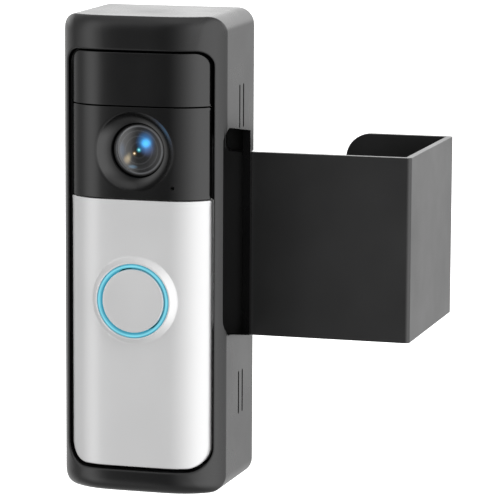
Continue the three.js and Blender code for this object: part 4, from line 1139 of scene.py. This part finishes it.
@dataclass
class DoorbellFace:
    """The three skins of the doorbell's front: sensor window, camera cover and lower faceplate.

    Attributes:
        crown: fall of the middle.
        flat: half width of the middle.
        edge_fall: fall at the left and right edges.
        skin: wall of each skin.
        edge: rounding of the outer edges.
        seam_edge: rounding of the edges at the seams.
        boss_radius: foot of the raised boss round the button.
        boss_hole: hole in the boss that takes the light ring.
        bowl_radius: rim of the bowl round the lens.
        bowl_foot: radius of the bowl's foot, where the well round the lens starts.
        bowl_slopes: slope of the bowl's wall at its foot and at its rim.
        lens_hole: hole at the bottom of the bowl.
        mic_hole: radius of the microphone's hole.
    """

    crown: float = 0.2 * MM
    flat: float = 10.5 * MM
    edge_fall: float = 6.53 * MM
    skin: float = 1.6 * MM
    edge: float = 0.5 * MM
    seam_edge: float = 0.12 * MM
    boss_radius: float = 13.0 * MM
    boss_hole: float = 11.02 * MM
    bowl_radius: float = 11.7 * MM
    bowl_foot: float = 8.25 * MM
    bowl_slopes: Flat = (0.35, 1.32)
    lens_hole: float = 8.1 * MM
    mic_hole: float = 0.55 * MM

    def surface(self) -> CrownedFront:
        """The crowned surface that all three skins share."""
        low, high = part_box("silver_faceplate")[0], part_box("sensor_window")[1]
        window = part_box("sensor_window")[0]
        return CrownedFront(((low.x + high.x) / 2, (low.z + high.z) / 2), (high.x - low.x) / 2,
                            (high.z - low.z) / 2, window.y, self.crown, self.flat, self.edge_fall)

    def skin_loops(self, outline: Sequence[Flat], edges: Sequence[float], hole: Sequence[Flat],
                   level: Callable[[float, float], float], back: float, rings: int) -> list[list[Point]]:
        """Loops of one skin from its hole, over its face and edge, and back inside to the hole.

        Args:
            outline: outer outline (x, z).
            edges: edge rounding at each point of the outline.
            hole: inner outline, matched to the outer one point by point.
            level: the face's surface.
            back: level of the skirt's rear edge.
            rings: rings between hole and edge.

        Returns:
            The loops, the first at the hole on the face and the last inside the hole.
        """
        normals = outward(outline)
        rim = [(x - nx * e, z - nz * e) for (x, z), (nx, nz), e in zip(outline, normals, edges)]
        loops = []
        for step in range(rings + 1):
            share = step / rings
            ring = [between(a, b, share) for a, b in zip(hole, rim)]
            loops.append([(x, level(x, z), z) for x, z in ring])
        for step in range(1, 5):
            angle = math.radians(90.0 * step / 4)
            loop = []
            for (x, z), (nx, nz), e in zip(outline, normals, edges):
                px, pz = x - nx * e * (1 - math.sin(angle)), z - nz * e * (1 - math.sin(angle))
                loop.append((px, level(px, pz) + e * (1 - math.cos(angle)), pz))
            loops.append(loop)
        inner = [(x - nx * self.skin, z - nz * self.skin) for (x, z), (nx, nz) in zip(outline, normals)]
        loops.append([(x, back, z) for x, z in outline])
        loops.append([(x, back, z) for x, z in inner])
        loops.append([(x, level(x, z) + self.skin, z) for x, z in inner])
        loops.append([(x, level(x, z) + self.skin, z) for x, z in hole])
        return loops

    def radial_hole(self, outline: Sequence[Flat], centre: Flat, radius: float) -> list[Flat]:
        """Points on a circle, each in line with one point of the outline.

        Args:
            outline: the outline (x, z).
            centre: the circle's middle.
            radius: its radius.

        Returns:
            The points (x, z).
        """
        hole = []
        for x, z in outline:
            angle = math.atan2(z - centre[1], x - centre[0])
            hole.append((centre[0] + radius * math.cos(angle), centre[1] + radius * math.sin(angle)))
        return hole

    def piece_outline(self, node: str, upper: float, lower: float) -> tuple[list[Flat], list[float]]:
        """Outline of one skin and the edge rounding at each of its points.

        Args:
            node: the CAD node that it stands for.
            upper: radius of its upper corners.
            lower: radius of its lower corners.

        Returns:
            The outline and the roundings.
        """
        low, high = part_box(node)
        centre = ((low.x + high.x) / 2, (low.z + high.z) / 2)
        outline = rounded_outline(centre, high.x - low.x, high.z - low.z, upper, lower, (48, 40), 10)
        face = self.surface()
        edges = []
        for _, z in outline:
            end = face.half_height - abs(z - face.centre[1])
            at_seam = end > 1 * MM and (z > high.z - 0.5 * MM or z < low.z + 0.5 * MM)
            edges.append(self.seam_edge if at_seam else self.edge)
        return outline, edges

    def faceplate(self) -> bpy.types.Object:
        """Lower faceplate with the raised boss round the button.

        Returns:
            The faceplate.
        """
        face = self.surface()
        ring = middle("light_ring")
        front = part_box("light_ring")[0].y
        centre = (ring.x, ring.z)
        outline, edges = self.piece_outline("silver_faceplate", SEAM_CORNER, LOWER_CORNER)
        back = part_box("silver_faceplate")[1].y
        foot = self.boss_radius + 0.5 * MM
        loops = self.skin_loops(outline, edges, self.radial_hole(outline, centre, foot), face.level, back, 34)
        base = face.level(centre[0], centre[1])
        profile = (
            (self.boss_hole, base + 4 * MM), (self.boss_hole, front + 0.25 * MM),
            (self.boss_hole + 0.08 * MM, front + 0.07 * MM), (self.boss_hole + 0.25 * MM, front),
            (self.boss_hole + 0.45 * MM, front + 0.06 * MM), (self.boss_hole + 0.62 * MM, front + 0.3 * MM),
            (self.boss_radius - 0.35 * MM, base - 0.42 * MM), (self.boss_radius - 0.1 * MM, base - 0.16 * MM),
            (self.boss_radius + 0.15 * MM, base - 0.03 * MM),
        )
        boss = []
        for radius, y in profile:
            points = self.radial_hole(outline, centre, radius)
            flat = radius >= self.boss_radius
            boss.append([(x, face.level(x, z) - (base - y) if flat else y, z) for x, z in points])
        inner = [(x, base + 4 * MM, z) for x, z in self.radial_hole(outline, centre, foot)]
        return loft("lower_faceplate", boss + loops[:-1] + [inner])

    def cover(self) -> bpy.types.Object:
        """Camera cover with the bowl that falls to the lens.

        Returns:
            The cover.
        """
        face = self.surface()
        lens = middle("front_lens")
        centre = (lens.x, lens.z)
        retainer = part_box("lens_retainer")
        outline, edges = self.piece_outline("camera_cover", SEAM_CORNER, SEAM_CORNER)
        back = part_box("camera_cover")[1].y
        foot = self.bowl_radius + 0.7 * MM
        loops = self.skin_loops(outline, edges, self.radial_hole(outline, centre, foot), face.level, back, 22)
        bottom = retainer[0].y + 0.4 * MM
        run = self.bowl_radius - self.bowl_foot
        low_slope, high_slope = self.bowl_slopes
        depth = run * (low_slope + high_slope) / 2
        middle_level = face.level(*centre)
        bowl = [[(x, y, z) for x, z in self.radial_hole(outline, centre, self.lens_hole)]
                for y in (bottom + self.skin, bottom + 0.2 * MM)]
        steps = 16
        for step in range(steps + 1):
            share = step / steps
            rise = run * (low_slope * share + (high_slope - low_slope) * share * share / 2)
            points = self.radial_hole(outline, centre, self.bowl_foot + run * share)
            bowl.append([(x, middle_level + (face.level(x, z) - middle_level) * share + depth - rise, z)
                         for x, z in points])
        for below, inset in ((0.12 * MM, 0.04 * MM), (0.35 * MM, 0.1 * MM)):
            points = self.radial_hole(outline, centre, self.bowl_foot - inset)
            bowl.insert(2, [(x, middle_level + depth + below, z) for x, z in points])
        blend = [(x, face.level(x, z) + 0.03 * MM, z)
                 for x, z in self.radial_hole(outline, centre, self.bowl_radius + 0.25 * MM)]
        inner = [(x, bottom + self.skin, z)
                 for x, z in self.radial_hole(outline, centre, self.lens_hole + 1.2 * MM)]
        cover = loft("camera_face", bowl + [blend] + loops + [inner])
        mic = middle("mic_gasket")
        front, back = face.crown_y - 1 * MM, face.crown_y + 4 * MM
        profile = [(0.0, front), (self.mic_hole, front), (self.mic_hole, back), (0.0, back)]
        carve(cover, [turned("mic_tool", profile, (mic.x, 0.0, mic.z), steps=20)])
        shade_by_angle(cover.data, SMOOTH_ANGLE)
        return cover

    def window(self) -> bpy.types.Object:
        """Sensor window, a plain crowned skin.

        Returns:
            The window.
        """
        face = self.surface()
        outline, edges = self.piece_outline("sensor_window", UPPER_CORNER, SEAM_CORNER)
        centre = (middle("sensor_window").x, middle("sensor_window").z)
        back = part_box("sensor_window")[1].y
        seed = self.radial_hole(outline, centre, 0.4 * MM)
        loops = self.skin_loops(outline, edges, seed, face.level, back, 16)
        return loft("sensor_face", loops, closed=False, cap=True)

    def build(self) -> None:
        """Makes and dresses the three skins."""
        dress(self.faceplate(), SATIN_NICKEL, BODY, "silver_faceplate")
        dress(self.cover(), FACE_BLACK, BODY, "camera_cover")
        dress(self.window(), FACE_BLACK, BODY, "sensor_window")


@dataclass
class ButtonUnit:
    """Round push button, the lit ring round it and the dome below.

    Attributes:
        dish: how far the button's middle is hollowed.
        edge: rounding of the button's rim.
        thickness: thickness of the button at its rim.
        stem: radius of its stem.
        ring_edge: rounding of the ring's front edges.
        ring_width: width of the ring's front.
        ring_inset: ring's outer edge inside the CAD ring's.
        dome_wall: wall of the dome's crown.
        dome_keep: share of the dome's height that is left when the button is all the way in; not used.
    """

    dish: float = 0.12 * MM
    edge: float = 0.35 * MM
    thickness: float = 1.4 * MM
    stem: float = 2.6 * MM
    ring_edge: float = 0.3 * MM
    ring_width: float = 1.02 * MM
    ring_inset: float = 0.05 * MM
    dome_wall: float = 0.4 * MM
    dome_keep: float = 0.845

    def cap(self) -> bpy.types.Object:
        """The button with its stem.

        Returns:
            The button.
        """
        low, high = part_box("button_cap")
        radius = (high.x - low.x) / 2
        back = low.y + self.thickness
        profile = [(POLE, low.y + self.dish)]
        for step in range(1, 9):
            share = step / 8
            profile.append(((radius - self.edge) * share, low.y + self.dish * (1 - share * share)))
        for step in range(1, 5):
            angle = math.radians(90 * step / 4)
            profile.append((radius - self.edge * (1 - math.sin(angle)),
                            low.y + self.edge * (1 - math.cos(angle))))
        profile += [(radius, back), (self.stem, back), (self.stem, high.y), (POLE, high.y)]
        return turned("push_button", profile, on_axis("button_cap"), steps=128)

    def ring(self) -> bpy.types.Object:
        """The light ring, a round-nosed tube."""
        low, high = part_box("light_ring")
        inner, outer = self.ring_radii()
        profile = round_nose(inner, outer, low.y, high.y, self.ring_edge, 3)
        return turned("lit_ring", profile, on_axis("light_ring"), steps=128, closed=True)

    def ring_radii(self) -> Flat:
        """Inner and outer radius of the light ring."""
        low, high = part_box("light_ring")
        outer = (high.x - low.x) / 2 - self.ring_inset
        return outer - self.ring_width, outer

    def dome(self) -> bpy.types.Object:
        """The silicone dome under the stem.

        Returns:
            The dome.
        """
        low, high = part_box("button_dome")
        radius = (high.x - low.x) / 2
        web, top, inner = radius * 0.72, low.y, low.y + self.dome_wall
        foot, rest = radius - 0.7 * MM, high.y - 1.5 * MM
        profile = [(POLE, top), (3.2 * MM, top), (web, top + 0.3 * MM), (radius, rest), (radius, high.y),
                   (foot, high.y), (foot, rest + 0.1 * MM), (web - 0.4 * MM, inner + 0.4 * MM),
                   (3.0 * MM, inner), (POLE, inner)]
        return turned("rubber_dome", profile, on_axis("button_dome"), steps=64)

    def build(self) -> None:
        """Makes and dresses the three pieces."""
        dress(self.cap(), SATIN_NICKEL, "button", "button_cap")
        dome = dress(self.dome(), SILICONE, BODY, "button_dome")
        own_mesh(dome)
        inner, outer = self.ring_radii()
        guide = LitGuide("lit_ring_guide", "light_guide", (0.03, 0.10, 0.12), roughness=0.35, relief=0.0,
                         centre=tuple(middle("light_ring")), inner=inner, outer=outer)
        dress(self.ring(), guide, BODY, "light_ring")


@dataclass
class CameraUnit:
    """Lens retainer, funnel of the barrel with its stepped baffles, and the front lens with painted
    reflections.

    Attributes:
        funnel_mouth: radius of the funnel at its mouth.
        funnel_foot: radius at its foot, where the glass sits.
        funnel_depth: depth of the funnel.
        bulge: how far the glass stands forward in its middle.
        baffles: number of fine rings turned into the funnel.
        ring_edge: rounding of the retainer's front edges.
        set_back: how far the funnel's mouth stands behind the retainer's front.
        glass_play: gap between the glass and the funnel's foot.
    """

    funnel_mouth: float = 7.4 * MM
    funnel_foot: float = 7.36 * MM
    funnel_depth: float = 0.1 * MM
    bulge: float = 0.9 * MM
    baffles: int = 4
    ring_edge: float = 0.3 * MM
    set_back: float = 0.25 * MM
    glass_play: float = 0.03 * MM

    def retainer(self) -> bpy.types.Object:
        """The black ring that holds the glass."""
        low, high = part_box("lens_retainer")
        profile = round_nose(self.funnel_mouth, (high.x - low.x) / 2, low.y, high.y, self.ring_edge, 4)
        return turned("lens_ring", profile, on_axis("lens_retainer"), steps=112, closed=True)

    def barrel(self) -> bpy.types.Object:
        """The barrel: a stepped funnel in front and a plain tube behind.

        Returns:
            The barrel.
        """
        low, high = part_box("lens_barrel")
        outer = (high.x - low.x) / 2
        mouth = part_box("lens_retainer")[0].y + self.set_back
        profile = [(self.funnel_mouth - 0.03 * MM, mouth)]
        for step in range(1, self.baffles + 1):
            share = step / self.baffles
            radius = self.funnel_mouth + (self.funnel_foot - self.funnel_mouth) * share
            y = mouth + self.funnel_depth * share
            profile.append((radius + 0.12 * MM, y - 0.05 * MM))
            profile.append((radius, y))
        profile += [(self.funnel_foot - 0.4 * MM, mouth + self.funnel_depth + 0.3 * MM),
                    (self.funnel_foot - 0.4 * MM, high.y), (outer, high.y), (outer, low.y + 0.2 * MM),
                    (self.funnel_mouth - 0.03 * MM, low.y + 0.2 * MM)]
        return turned("lens_tube", profile, on_axis("lens_barrel"), steps=112, closed=True, smooth_angle=25.0)

    def glass(self) -> bpy.types.Object:
        """The front element, a shallow dome.

        Returns:
            The glass.
        """
        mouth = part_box("lens_retainer")[0].y + self.set_back
        rim = mouth + self.funnel_depth + 0.05 * MM
        radius = self.funnel_foot - self.glass_play
        profile = []
        for step in range(0, 15):
            share = step / 14
            profile.append((max(radius * share, POLE), rim - self.bulge * (1 - share ** 2)))
        profile += [(radius, rim + 0.3 * MM), (POLE, rim + 0.3 * MM)]
        return turned("front_glass", profile, on_axis("front_lens"), steps=112)

    def build(self) -> None:
        """Makes and dresses the camera's visible pieces."""
        retainer_black = Finish("polished_black_ring", "gloss_black", (0.002, 0.002, 0.002), roughness=0.22,
                                specular=0.25, grain=0.001, relief=0.0)
        barrel_grey = Finish("anodised_barrel", "inner_plastic", (0.035, 0.034, 0.033), roughness=0.3,
                             metallic=0.3, grain=0.0004, relief=0.000002)
        centre = tuple(middle("front_lens"))
        # painted reflections: soft coloured patches set into the glass's colour
        glints = (
            Glint(2.05 * MM, 2.35 * MM, 3.6 * MM, (0.02, 0.13, 0.34), 1.2),
            Glint(2.25 * MM, 2.15 * MM, 2.3 * MM, (0.05, 0.36, 0.68), 0.9),
            Glint(2.8 * MM, 0.3 * MM, 3.0 * MM, (0.03, 0.04, 0.09), 1.0),
            Glint(0.15 * MM, 0.1 * MM, 1.1 * MM, (0.01, 0.22, 0.27), 1.0),
            Glint(0.15 * MM, 0.1 * MM, 0.6 * MM, (0.22, 0.5, 0.45), 1.0),
            Glint(-1.25 * MM, -1.0 * MM, 1.1 * MM, (0.10, 0.06, 0.01), 1.0),
            Glint(-1.25 * MM, -1.0 * MM, 0.5 * MM, (0.9, 0.7, 0.5), 1.0),
            Glint(-3.6 * MM, -2.9 * MM, 1.7 * MM, (0.22, 0.17, 0.10), 1.2),
            Glint(-2.9 * MM, -1.8 * MM, 1.2 * MM, (0.10, 0.085, 0.05), 1.5),
            Glint(-2.0 * MM, -5.0 * MM, 2.2 * MM, (0.04, 0.09, 0.14), 0.4),
            Glint(-5.2 * MM, -0.2 * MM, 1.6 * MM, (0.015, 0.03, 0.055), 2.2),
        )
        # the glass's colour carries the painted reflections and a faint painted glow
        painted_lens = PaintedReflectionLens("coated_camera_glass", "lens_glass", (0.01, 0.015, 0.03), roughness=0.05,
                            specular=0.5, coat=1.0, centre=centre, radius=self.funnel_foot - self.glass_play,
                            glints=glints)
        dress(self.retainer(), retainer_black, BODY, "lens_retainer")
        dress(self.barrel(), barrel_grey, BODY, "lens_barrel")
        dress(self.glass(), painted_lens, BODY, "front_lens")


# -------------------------------------------------------------------------------------------- bracket


@dataclass
class DoorBracket:
    """The folded steel bracket, its rubber pads, the clamp and every screw that shows from behind.

    Attributes:
        sheet_edge: rounding of the sheet's cut edges.
        pad_edge: rounding of the pads.
        crest: radius of the clamp screws' thread at its crests.
        root: its radius at the roots.
        pitch: distance between two crests.
        head_height: height of a clamp screw's head.
        key: radius of the corners of its socket.
        key_depth: depth of the socket.
    """

    sheet_edge: float = 0.22 * MM
    pad_edge: float = 0.35 * MM
    crest: float = 2.5 * MM
    root: float = 2.12 * MM
    pitch: float = 0.8 * MM
    head_height: float = 4 * MM
    key: float = 2.3 * MM
    key_depth: float = 2.2 * MM

    def build(self) -> None:
        """Makes and dresses the bracket's pieces."""
        bracket = refined_copy("door_bracket", "folded_bracket", self.sheet_edge)
        dress(bracket, POWDER_COAT, BODY, "door_bracket")
        for node, body in (("arm_door_pad", BODY), ("head_door_pad", BODY), ("edge_door_pad", BODY),
                           ("clamp_pad", "clamp")):
            dress(refined_copy(node, node + "_soft", self.pad_edge), PAD_RUBBER, body, node)
        plate = refined_copy("clamp_plate", "pressure_plate", self.sheet_edge)
        dress(plate, POWDER_COAT, "clamp", "clamp_plate")
        for name in ("upper", "lower"):
            nut = refined_copy(f"clamp_nut_{name}", f"weld_nut_{name}", 0.3 * MM)
            dress(nut, PLATED_STEEL, BODY, f"clamp_nut_{name}")
            dress(self.clamp_screw(name), PLATED_STEEL, f"clamp_screw_{name}", f"clamp_screw_{name}")
        self.screw_heads()

    def clamp_screw(self, name: str) -> bpy.types.Object:
        """One clamp screw with real thread crests and a socket head.

        Args:
            name: upper or lower.

        Returns:
            The screw.
        """
        low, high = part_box(f"clamp_screw_{name}")
        centre = middle(f"clamp_screw_{name}")
        crest, root, pitch = self.crest, self.root, self.pitch
        head = high.y - self.head_height
        head_radius = (high.x - low.x) / 2
        profile = [(POLE, low.y), (1.9 * MM, low.y), (crest - 0.1 * MM, low.y + 0.5 * MM)]
        y = low.y + 0.8 * MM
        while y < head - pitch:
            profile += [(crest, y), (crest, y + 0.08 * MM), (root, y + pitch * 0.5), (root, y + pitch * 0.6)]
            y += pitch
        profile += [(crest, head - 0.1 * MM), (crest, head), (head_radius - 0.3 * MM, head),
                    (head_radius, head + 0.3 * MM), (head_radius, high.y - 0.5 * MM),
                    (head_radius - 0.15 * MM, high.y - 0.15 * MM), (head_radius - 0.5 * MM, high.y),
                    (POLE, high.y)]
        screw = turned(f"socket_screw_{name}", profile, on_axis(f"clamp_screw_{name}"), steps=48)
        key = [(centre.x + self.key * math.cos(math.radians(60 * i)),
                centre.z + self.key * math.sin(math.radians(60 * i))) for i in range(6)]
        carve(screw, [prism("key_tool", key, high.y - self.key_depth, high.y + 1 * MM)])
        shade_by_angle(screw.data, 35.0)
        return screw

    def screw_heads(self) -> None:
        """Sets a cross-recessed screw at each fixing point behind the housing and the riser.

        The copies' random turns come from a fixed seed.
        """
        nodes = [f"housing_screw_{v}_{s}" for v in ("upper", "lower") for s in ("left", "right")]
        nodes += ["riser_screw_upper", "riser_screw_lower"]
        low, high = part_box(nodes[0])
        length = high.y - low.y
        head, shank, thick = (high.x - low.x) / 2, 1.4 * MM, 1.1 * MM
        profile = [(POLE, -length), (0.6 * MM, -length), (shank, -length + 1.2 * MM),
                   (shank, -thick), (head - 0.1 * MM, -thick), (head, -thick + 0.15 * MM),
                   (head, -0.45 * MM), (head - 0.25 * MM, -0.15 * MM), (head * 0.6, 0.0), (POLE, 0.0)]
        copy = turned("screw_copy", profile, (0.0, 0.0, 0.0), steps=40)
        tools = []
        for wide, tall in ((1.25 * MM, 0.3 * MM), (0.3 * MM, 1.25 * MM)):
            slot = [(-wide, -tall), (wide, -tall), (wide, tall), (-wide, tall)]
            tools.append(prism("cross_tool", slot, -0.8 * MM, 0.5 * MM))
        carve(copy, tools)
        points = [(middle(n).x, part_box(n)[1].y, middle(n).z) for n in nodes]
        screws = InstanceTree().spread("fixing_screws", copy, points, PLATED_STEEL, turn=1.5)
        dress(screws, PLATED_STEEL, BODY, *nodes)


# -------------------------------------------------------------------------------------------- inside


@dataclass
class HiddenWorks:
    """Everything behind the casings: CAD nodes that keep their shape and get their own finish."""

    finishes: dict[Finish, tuple[str, ...]] = field(default_factory=lambda: {
        CAVITY_PLASTIC: ("riser", "wall_bracket", "rear_case", "front_chassis", "lens_holder"),
        PLATED_STEEL: ("lock_screw", "wall_bracket_screw_upper", "wall_bracket_screw_lower",
                       "case_screw_upper_right", "case_screw_upper_left", "case_screw_lower_right",
                       "case_screw_lower_left"),
        SILICONE: ("case_gasket", "speaker_gasket", "mic_gasket"),
        PAD_RUBBER: ("port_plug",),
        BOARD: ("main_board", "camera_board", "led_board", "sensor_board"),
        CHIP: ("image_sensor", "tact_switch", "speaker", "switch_plunger"),
        SHIELD_STEEL: ("processor_shield", "charge_port", "motion_sensor", "microphone"),
        BATTERY: ("battery_pack",),
        COPPER: ("antenna",),
        IR_GLASS: ("ir_emitter_right", "ir_emitter_left"),
    })

    def build(self) -> None:
        """Gives every hidden node its finish."""
        for finish, nodes in self.finishes.items():
            for node in nodes:
                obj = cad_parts[node]
                obj.data.materials.clear()
                obj.data.materials.append(finish.material())
                LOG.info("%s keeps its CAD shape in %s", node, finish.name)


# -------------------------------------------------------------------------------------------- studio


@dataclass
class Studio:
    """Camera, soft lights, pale floor and surroundings.

    Attributes:
        eye: the camera's place, in metres.
        azimuth: direction of view from the front, in degrees.
        elevation: height of view above the horizon, in degrees.
        roll: turn of the camera about its axis, in degrees.
        lens: focal length on a 36 mm sensor.
        floor_level: height of the floor.
        belt: brightness round the object, by degrees right of the front.
        reach: share of that brightness by height, from -1 straight down to 1 straight up.
        ends: brightness above and below, by the same height.
        backdrop: brightness that the lit wall behind adds, by degrees right of the front.
        backdrop_height: share of it by height.
    """

    eye: Point = (0.23681, -0.92075, 0.14628)
    azimuth: float = 15.877
    elevation: float = 8.833
    roll: float = 0.295
    lens: float = 229.5
    floor_level: float = -0.62
    belt: tuple[Flat, ...] = (
        (-180, 0.8), (-150, 0.85), (-135, 0.85), (-117, 0.7), (-100, 0.5), (-90, 0.42), (-79, 0.6),
        (-70, 1.1), (-60, 1.6), (-50, 1.85), (-40, 1.6), (-33, 1.2), (-28, 0.8), (-24, 0.4), (-20, 0.18),
        (-10, 0.18), (-4, 0.3), (6, 0.5), (20, 0.85), (35, 1.4), (50, 2.0), (65, 2.4), (90, 2.35),
        (110, 1.6), (125, 1.1), (140, 1.0), (180, 0.95))
    reach: tuple[Flat, ...] = ((-1.0, 0.0), (-0.9, 0.0), (-0.6, 1.0), (0.6, 1.0), (0.9, 0.0), (1.0, 0.0))
    ends: tuple[Flat, ...] = ((-1.0, 0.5), (-0.9, 0.5), (-0.6, 0.0), (0.6, 0.0), (0.9, 0.75), (1.0, 0.75))
    backdrop: tuple[Flat, ...] = ((-180, 0.9), (-120, 0.9), (-105, 0.0), (105, 0.0), (120, 0.9), (180, 0.9))
    backdrop_height: tuple[Flat, ...] = (
        (-1.0, 0.0), (0.02, 0.0), (0.1, 1.0), (0.4, 1.0), (0.55, 0.0), (1.0, 0.0))

    def camera(self) -> None:
        """Adds the camera."""
        data = bpy.data.cameras.new("camera")
        data.lens = self.lens
        data.sensor_width = 36.0
        data.clip_start, data.clip_end = 0.05, 100.0
        camera = bpy.data.objects.new("camera", data)
        bpy.context.scene.collection.objects.link(camera)
        azimuth, elevation = math.radians(self.azimuth), math.radians(self.elevation)
        back = Vector((math.sin(azimuth) * math.cos(elevation), -math.cos(azimuth) * math.cos(elevation),
                       math.sin(elevation)))
        turn = (-back).to_track_quat("-Z", "Y").to_matrix().to_4x4()
        roll = Matrix.Rotation(math.radians(self.roll), 4, "Z")
        camera.matrix_world = Matrix.Translation(self.eye) @ turn @ roll
        bpy.context.scene.camera = camera

    def softbox(self, name: str, place: Point, size: Flat, power: float) -> None:
        """Adds one area light that faces the object.

        Args:
            name: its name.
            place: where it stands, in metres.
            size: its width and height.
            power: its power, in watts.
        """
        data = bpy.data.lights.new(name, "AREA")
        data.shape = "RECTANGLE"
        data.size, data.size_y = size
        data.energy = power
        light = bpy.data.objects.new(name, data)
        light.location = place
        light.rotation_mode = "QUATERNION"
        light.rotation_quaternion = (-Vector(place)).to_track_quat("-Z", "Y")
        bpy.context.scene.collection.objects.link(light)

    def surroundings(self) -> None:
        """Sets the brightness round the object: two tall softboxes, a pale wall behind and pale ends."""
        world = bpy.data.worlds.new("studio")
        world.use_nodes = True
        tree = NodeTree(world.node_tree)
        where = tree.add("ShaderNodeTexCoord")
        split = tree.add("ShaderNodeSeparateXYZ")
        tree.link(where.outputs["Generated"], split.inputs["Vector"])
        front = tree.add("ShaderNodeMath", operation="MULTIPLY")
        front.inputs[1].default_value = -1.0
        tree.link(split.outputs["Y"], front.inputs[0])
        turn = tree.add("ShaderNodeMath", operation="ARCTAN2")
        tree.link(split.outputs["X"], turn.inputs[0])
        tree.link(front.outputs[0], turn.inputs[1])
        around = self.curve(tree, turn.outputs[0], math.pi, 180.0, self.belt)
        height = self.curve(tree, split.outputs["Z"], 1.0, 1.0, self.reach)
        ends = self.curve(tree, split.outputs["Z"], 1.0, 1.0, self.ends)
        wall = self.curve(tree, turn.outputs[0], math.pi, 180.0, self.backdrop)
        wall_height = self.curve(tree, split.outputs["Z"], 1.0, 1.0, self.backdrop_height)
        lit = tree.sum_or_product("ADD", tree.sum_or_product("MULTIPLY", around, height), ends)
        total = tree.sum_or_product("ADD", lit, tree.sum_or_product("MULTIPLY", wall, wall_height))
        glow = tree.add("ShaderNodeBackground", Color=(1.0, 1.0, 1.0, 1.0))
        tree.link(total, glow.inputs["Strength"])
        seen = tree.add("ShaderNodeBackground", Color=(1.0, 1.0, 1.0, 1.0), Strength=1.02)
        path = tree.add("ShaderNodeLightPath")
        mix = tree.add("ShaderNodeMixShader")
        tree.link(path.outputs["Is Camera Ray"], mix.inputs["Fac"])
        tree.link(glow.outputs["Background"], mix.inputs[1])
        tree.link(seen.outputs["Background"], mix.inputs[2])
        output = tree.add("ShaderNodeOutputWorld")
        tree.link(mix.outputs["Shader"], output.inputs["Surface"])
        bpy.context.scene.world = world

    def curve(self, tree: NodeTree, value: bpy.types.NodeSocket, span: float, scale: float,
              stops: Sequence[Flat]) -> bpy.types.NodeSocket:
        """Brightness looked up along one coordinate.

        Args:
            tree: the world's tree.
            value: the coordinate, from -span to span.
            span: its largest value.
            scale: the stops' own largest value.
            stops: pairs of coordinate, in the stops' scale, and brightness.

        Returns:
            The brightness.
        """
        share = tree.add("ShaderNodeMapRange")
        share.inputs["From Min"].default_value = -span
        share.inputs["From Max"].default_value = span
        tree.link(value, share.inputs["Value"])
        peak = max(level for _, level in stops)
        greys = [((at + scale) / (2 * scale), (level / peak,) * 3) for at, level in stops]
        gain = tree.add("ShaderNodeMath", operation="MULTIPLY")
        gain.inputs[1].default_value = peak
        tree.link(tree.ramp(share.outputs["Result"], greys), gain.inputs[0])
        return gain.outputs[0]

    def floor(self) -> None:
        """Adds the pale floor, far below the hanging object, as a glowing white sheet."""
        half = 30.0
        mesh = bpy.data.meshes.new("floor")
        corners = [(-half, -half), (half, -half), (half, half), (-half, half)]
        mesh.from_pydata([(x, y, self.floor_level) for x, y in corners], [], [(0, 1, 2, 3)])
        floor = bpy.data.objects.new("floor", mesh)
        bpy.context.scene.collection.objects.link(floor)
        made = bpy.data.materials.new("pale_floor")
        made.use_nodes = True
        shader = made.node_tree.nodes["Principled BSDF"]
        shader.inputs["Base Color"].default_value = (0.9, 0.9, 0.9, 1.0)
        shader.inputs["Roughness"].default_value = 0.9
        shader.inputs["Emission Color"].default_value = (1.0, 1.0, 1.0, 1.0)
        shader.inputs["Emission Strength"].default_value = 0.7
        mesh.materials.append(made)
        floor.visible_glossy = False
        floor.visible_diffuse = False

    def build(self) -> None:
        """Sets up everything round the object."""
        scene = bpy.context.scene
        scene.view_settings.view_transform = "Standard"
        scene.view_settings.look = "None"
        self.camera()
        self.surroundings()
        self.floor()
        self.softbox("top_softbox", (0.1, -0.3, 1.5), (1.2, 1.0), 1.5)


def main() -> None:
    """Builds the studio and every sub-assembly in order."""
    logging.basicConfig(level=logging.INFO, format="%(name)s: %(message)s")
    Studio().build()
    HiddenWorks().build()
    Housing().build()
    DoorbellFace().build()
    ButtonUnit().build()
    CameraUnit().build()
    DoorBracket().build()


if __name__ == "__main__":
    main()
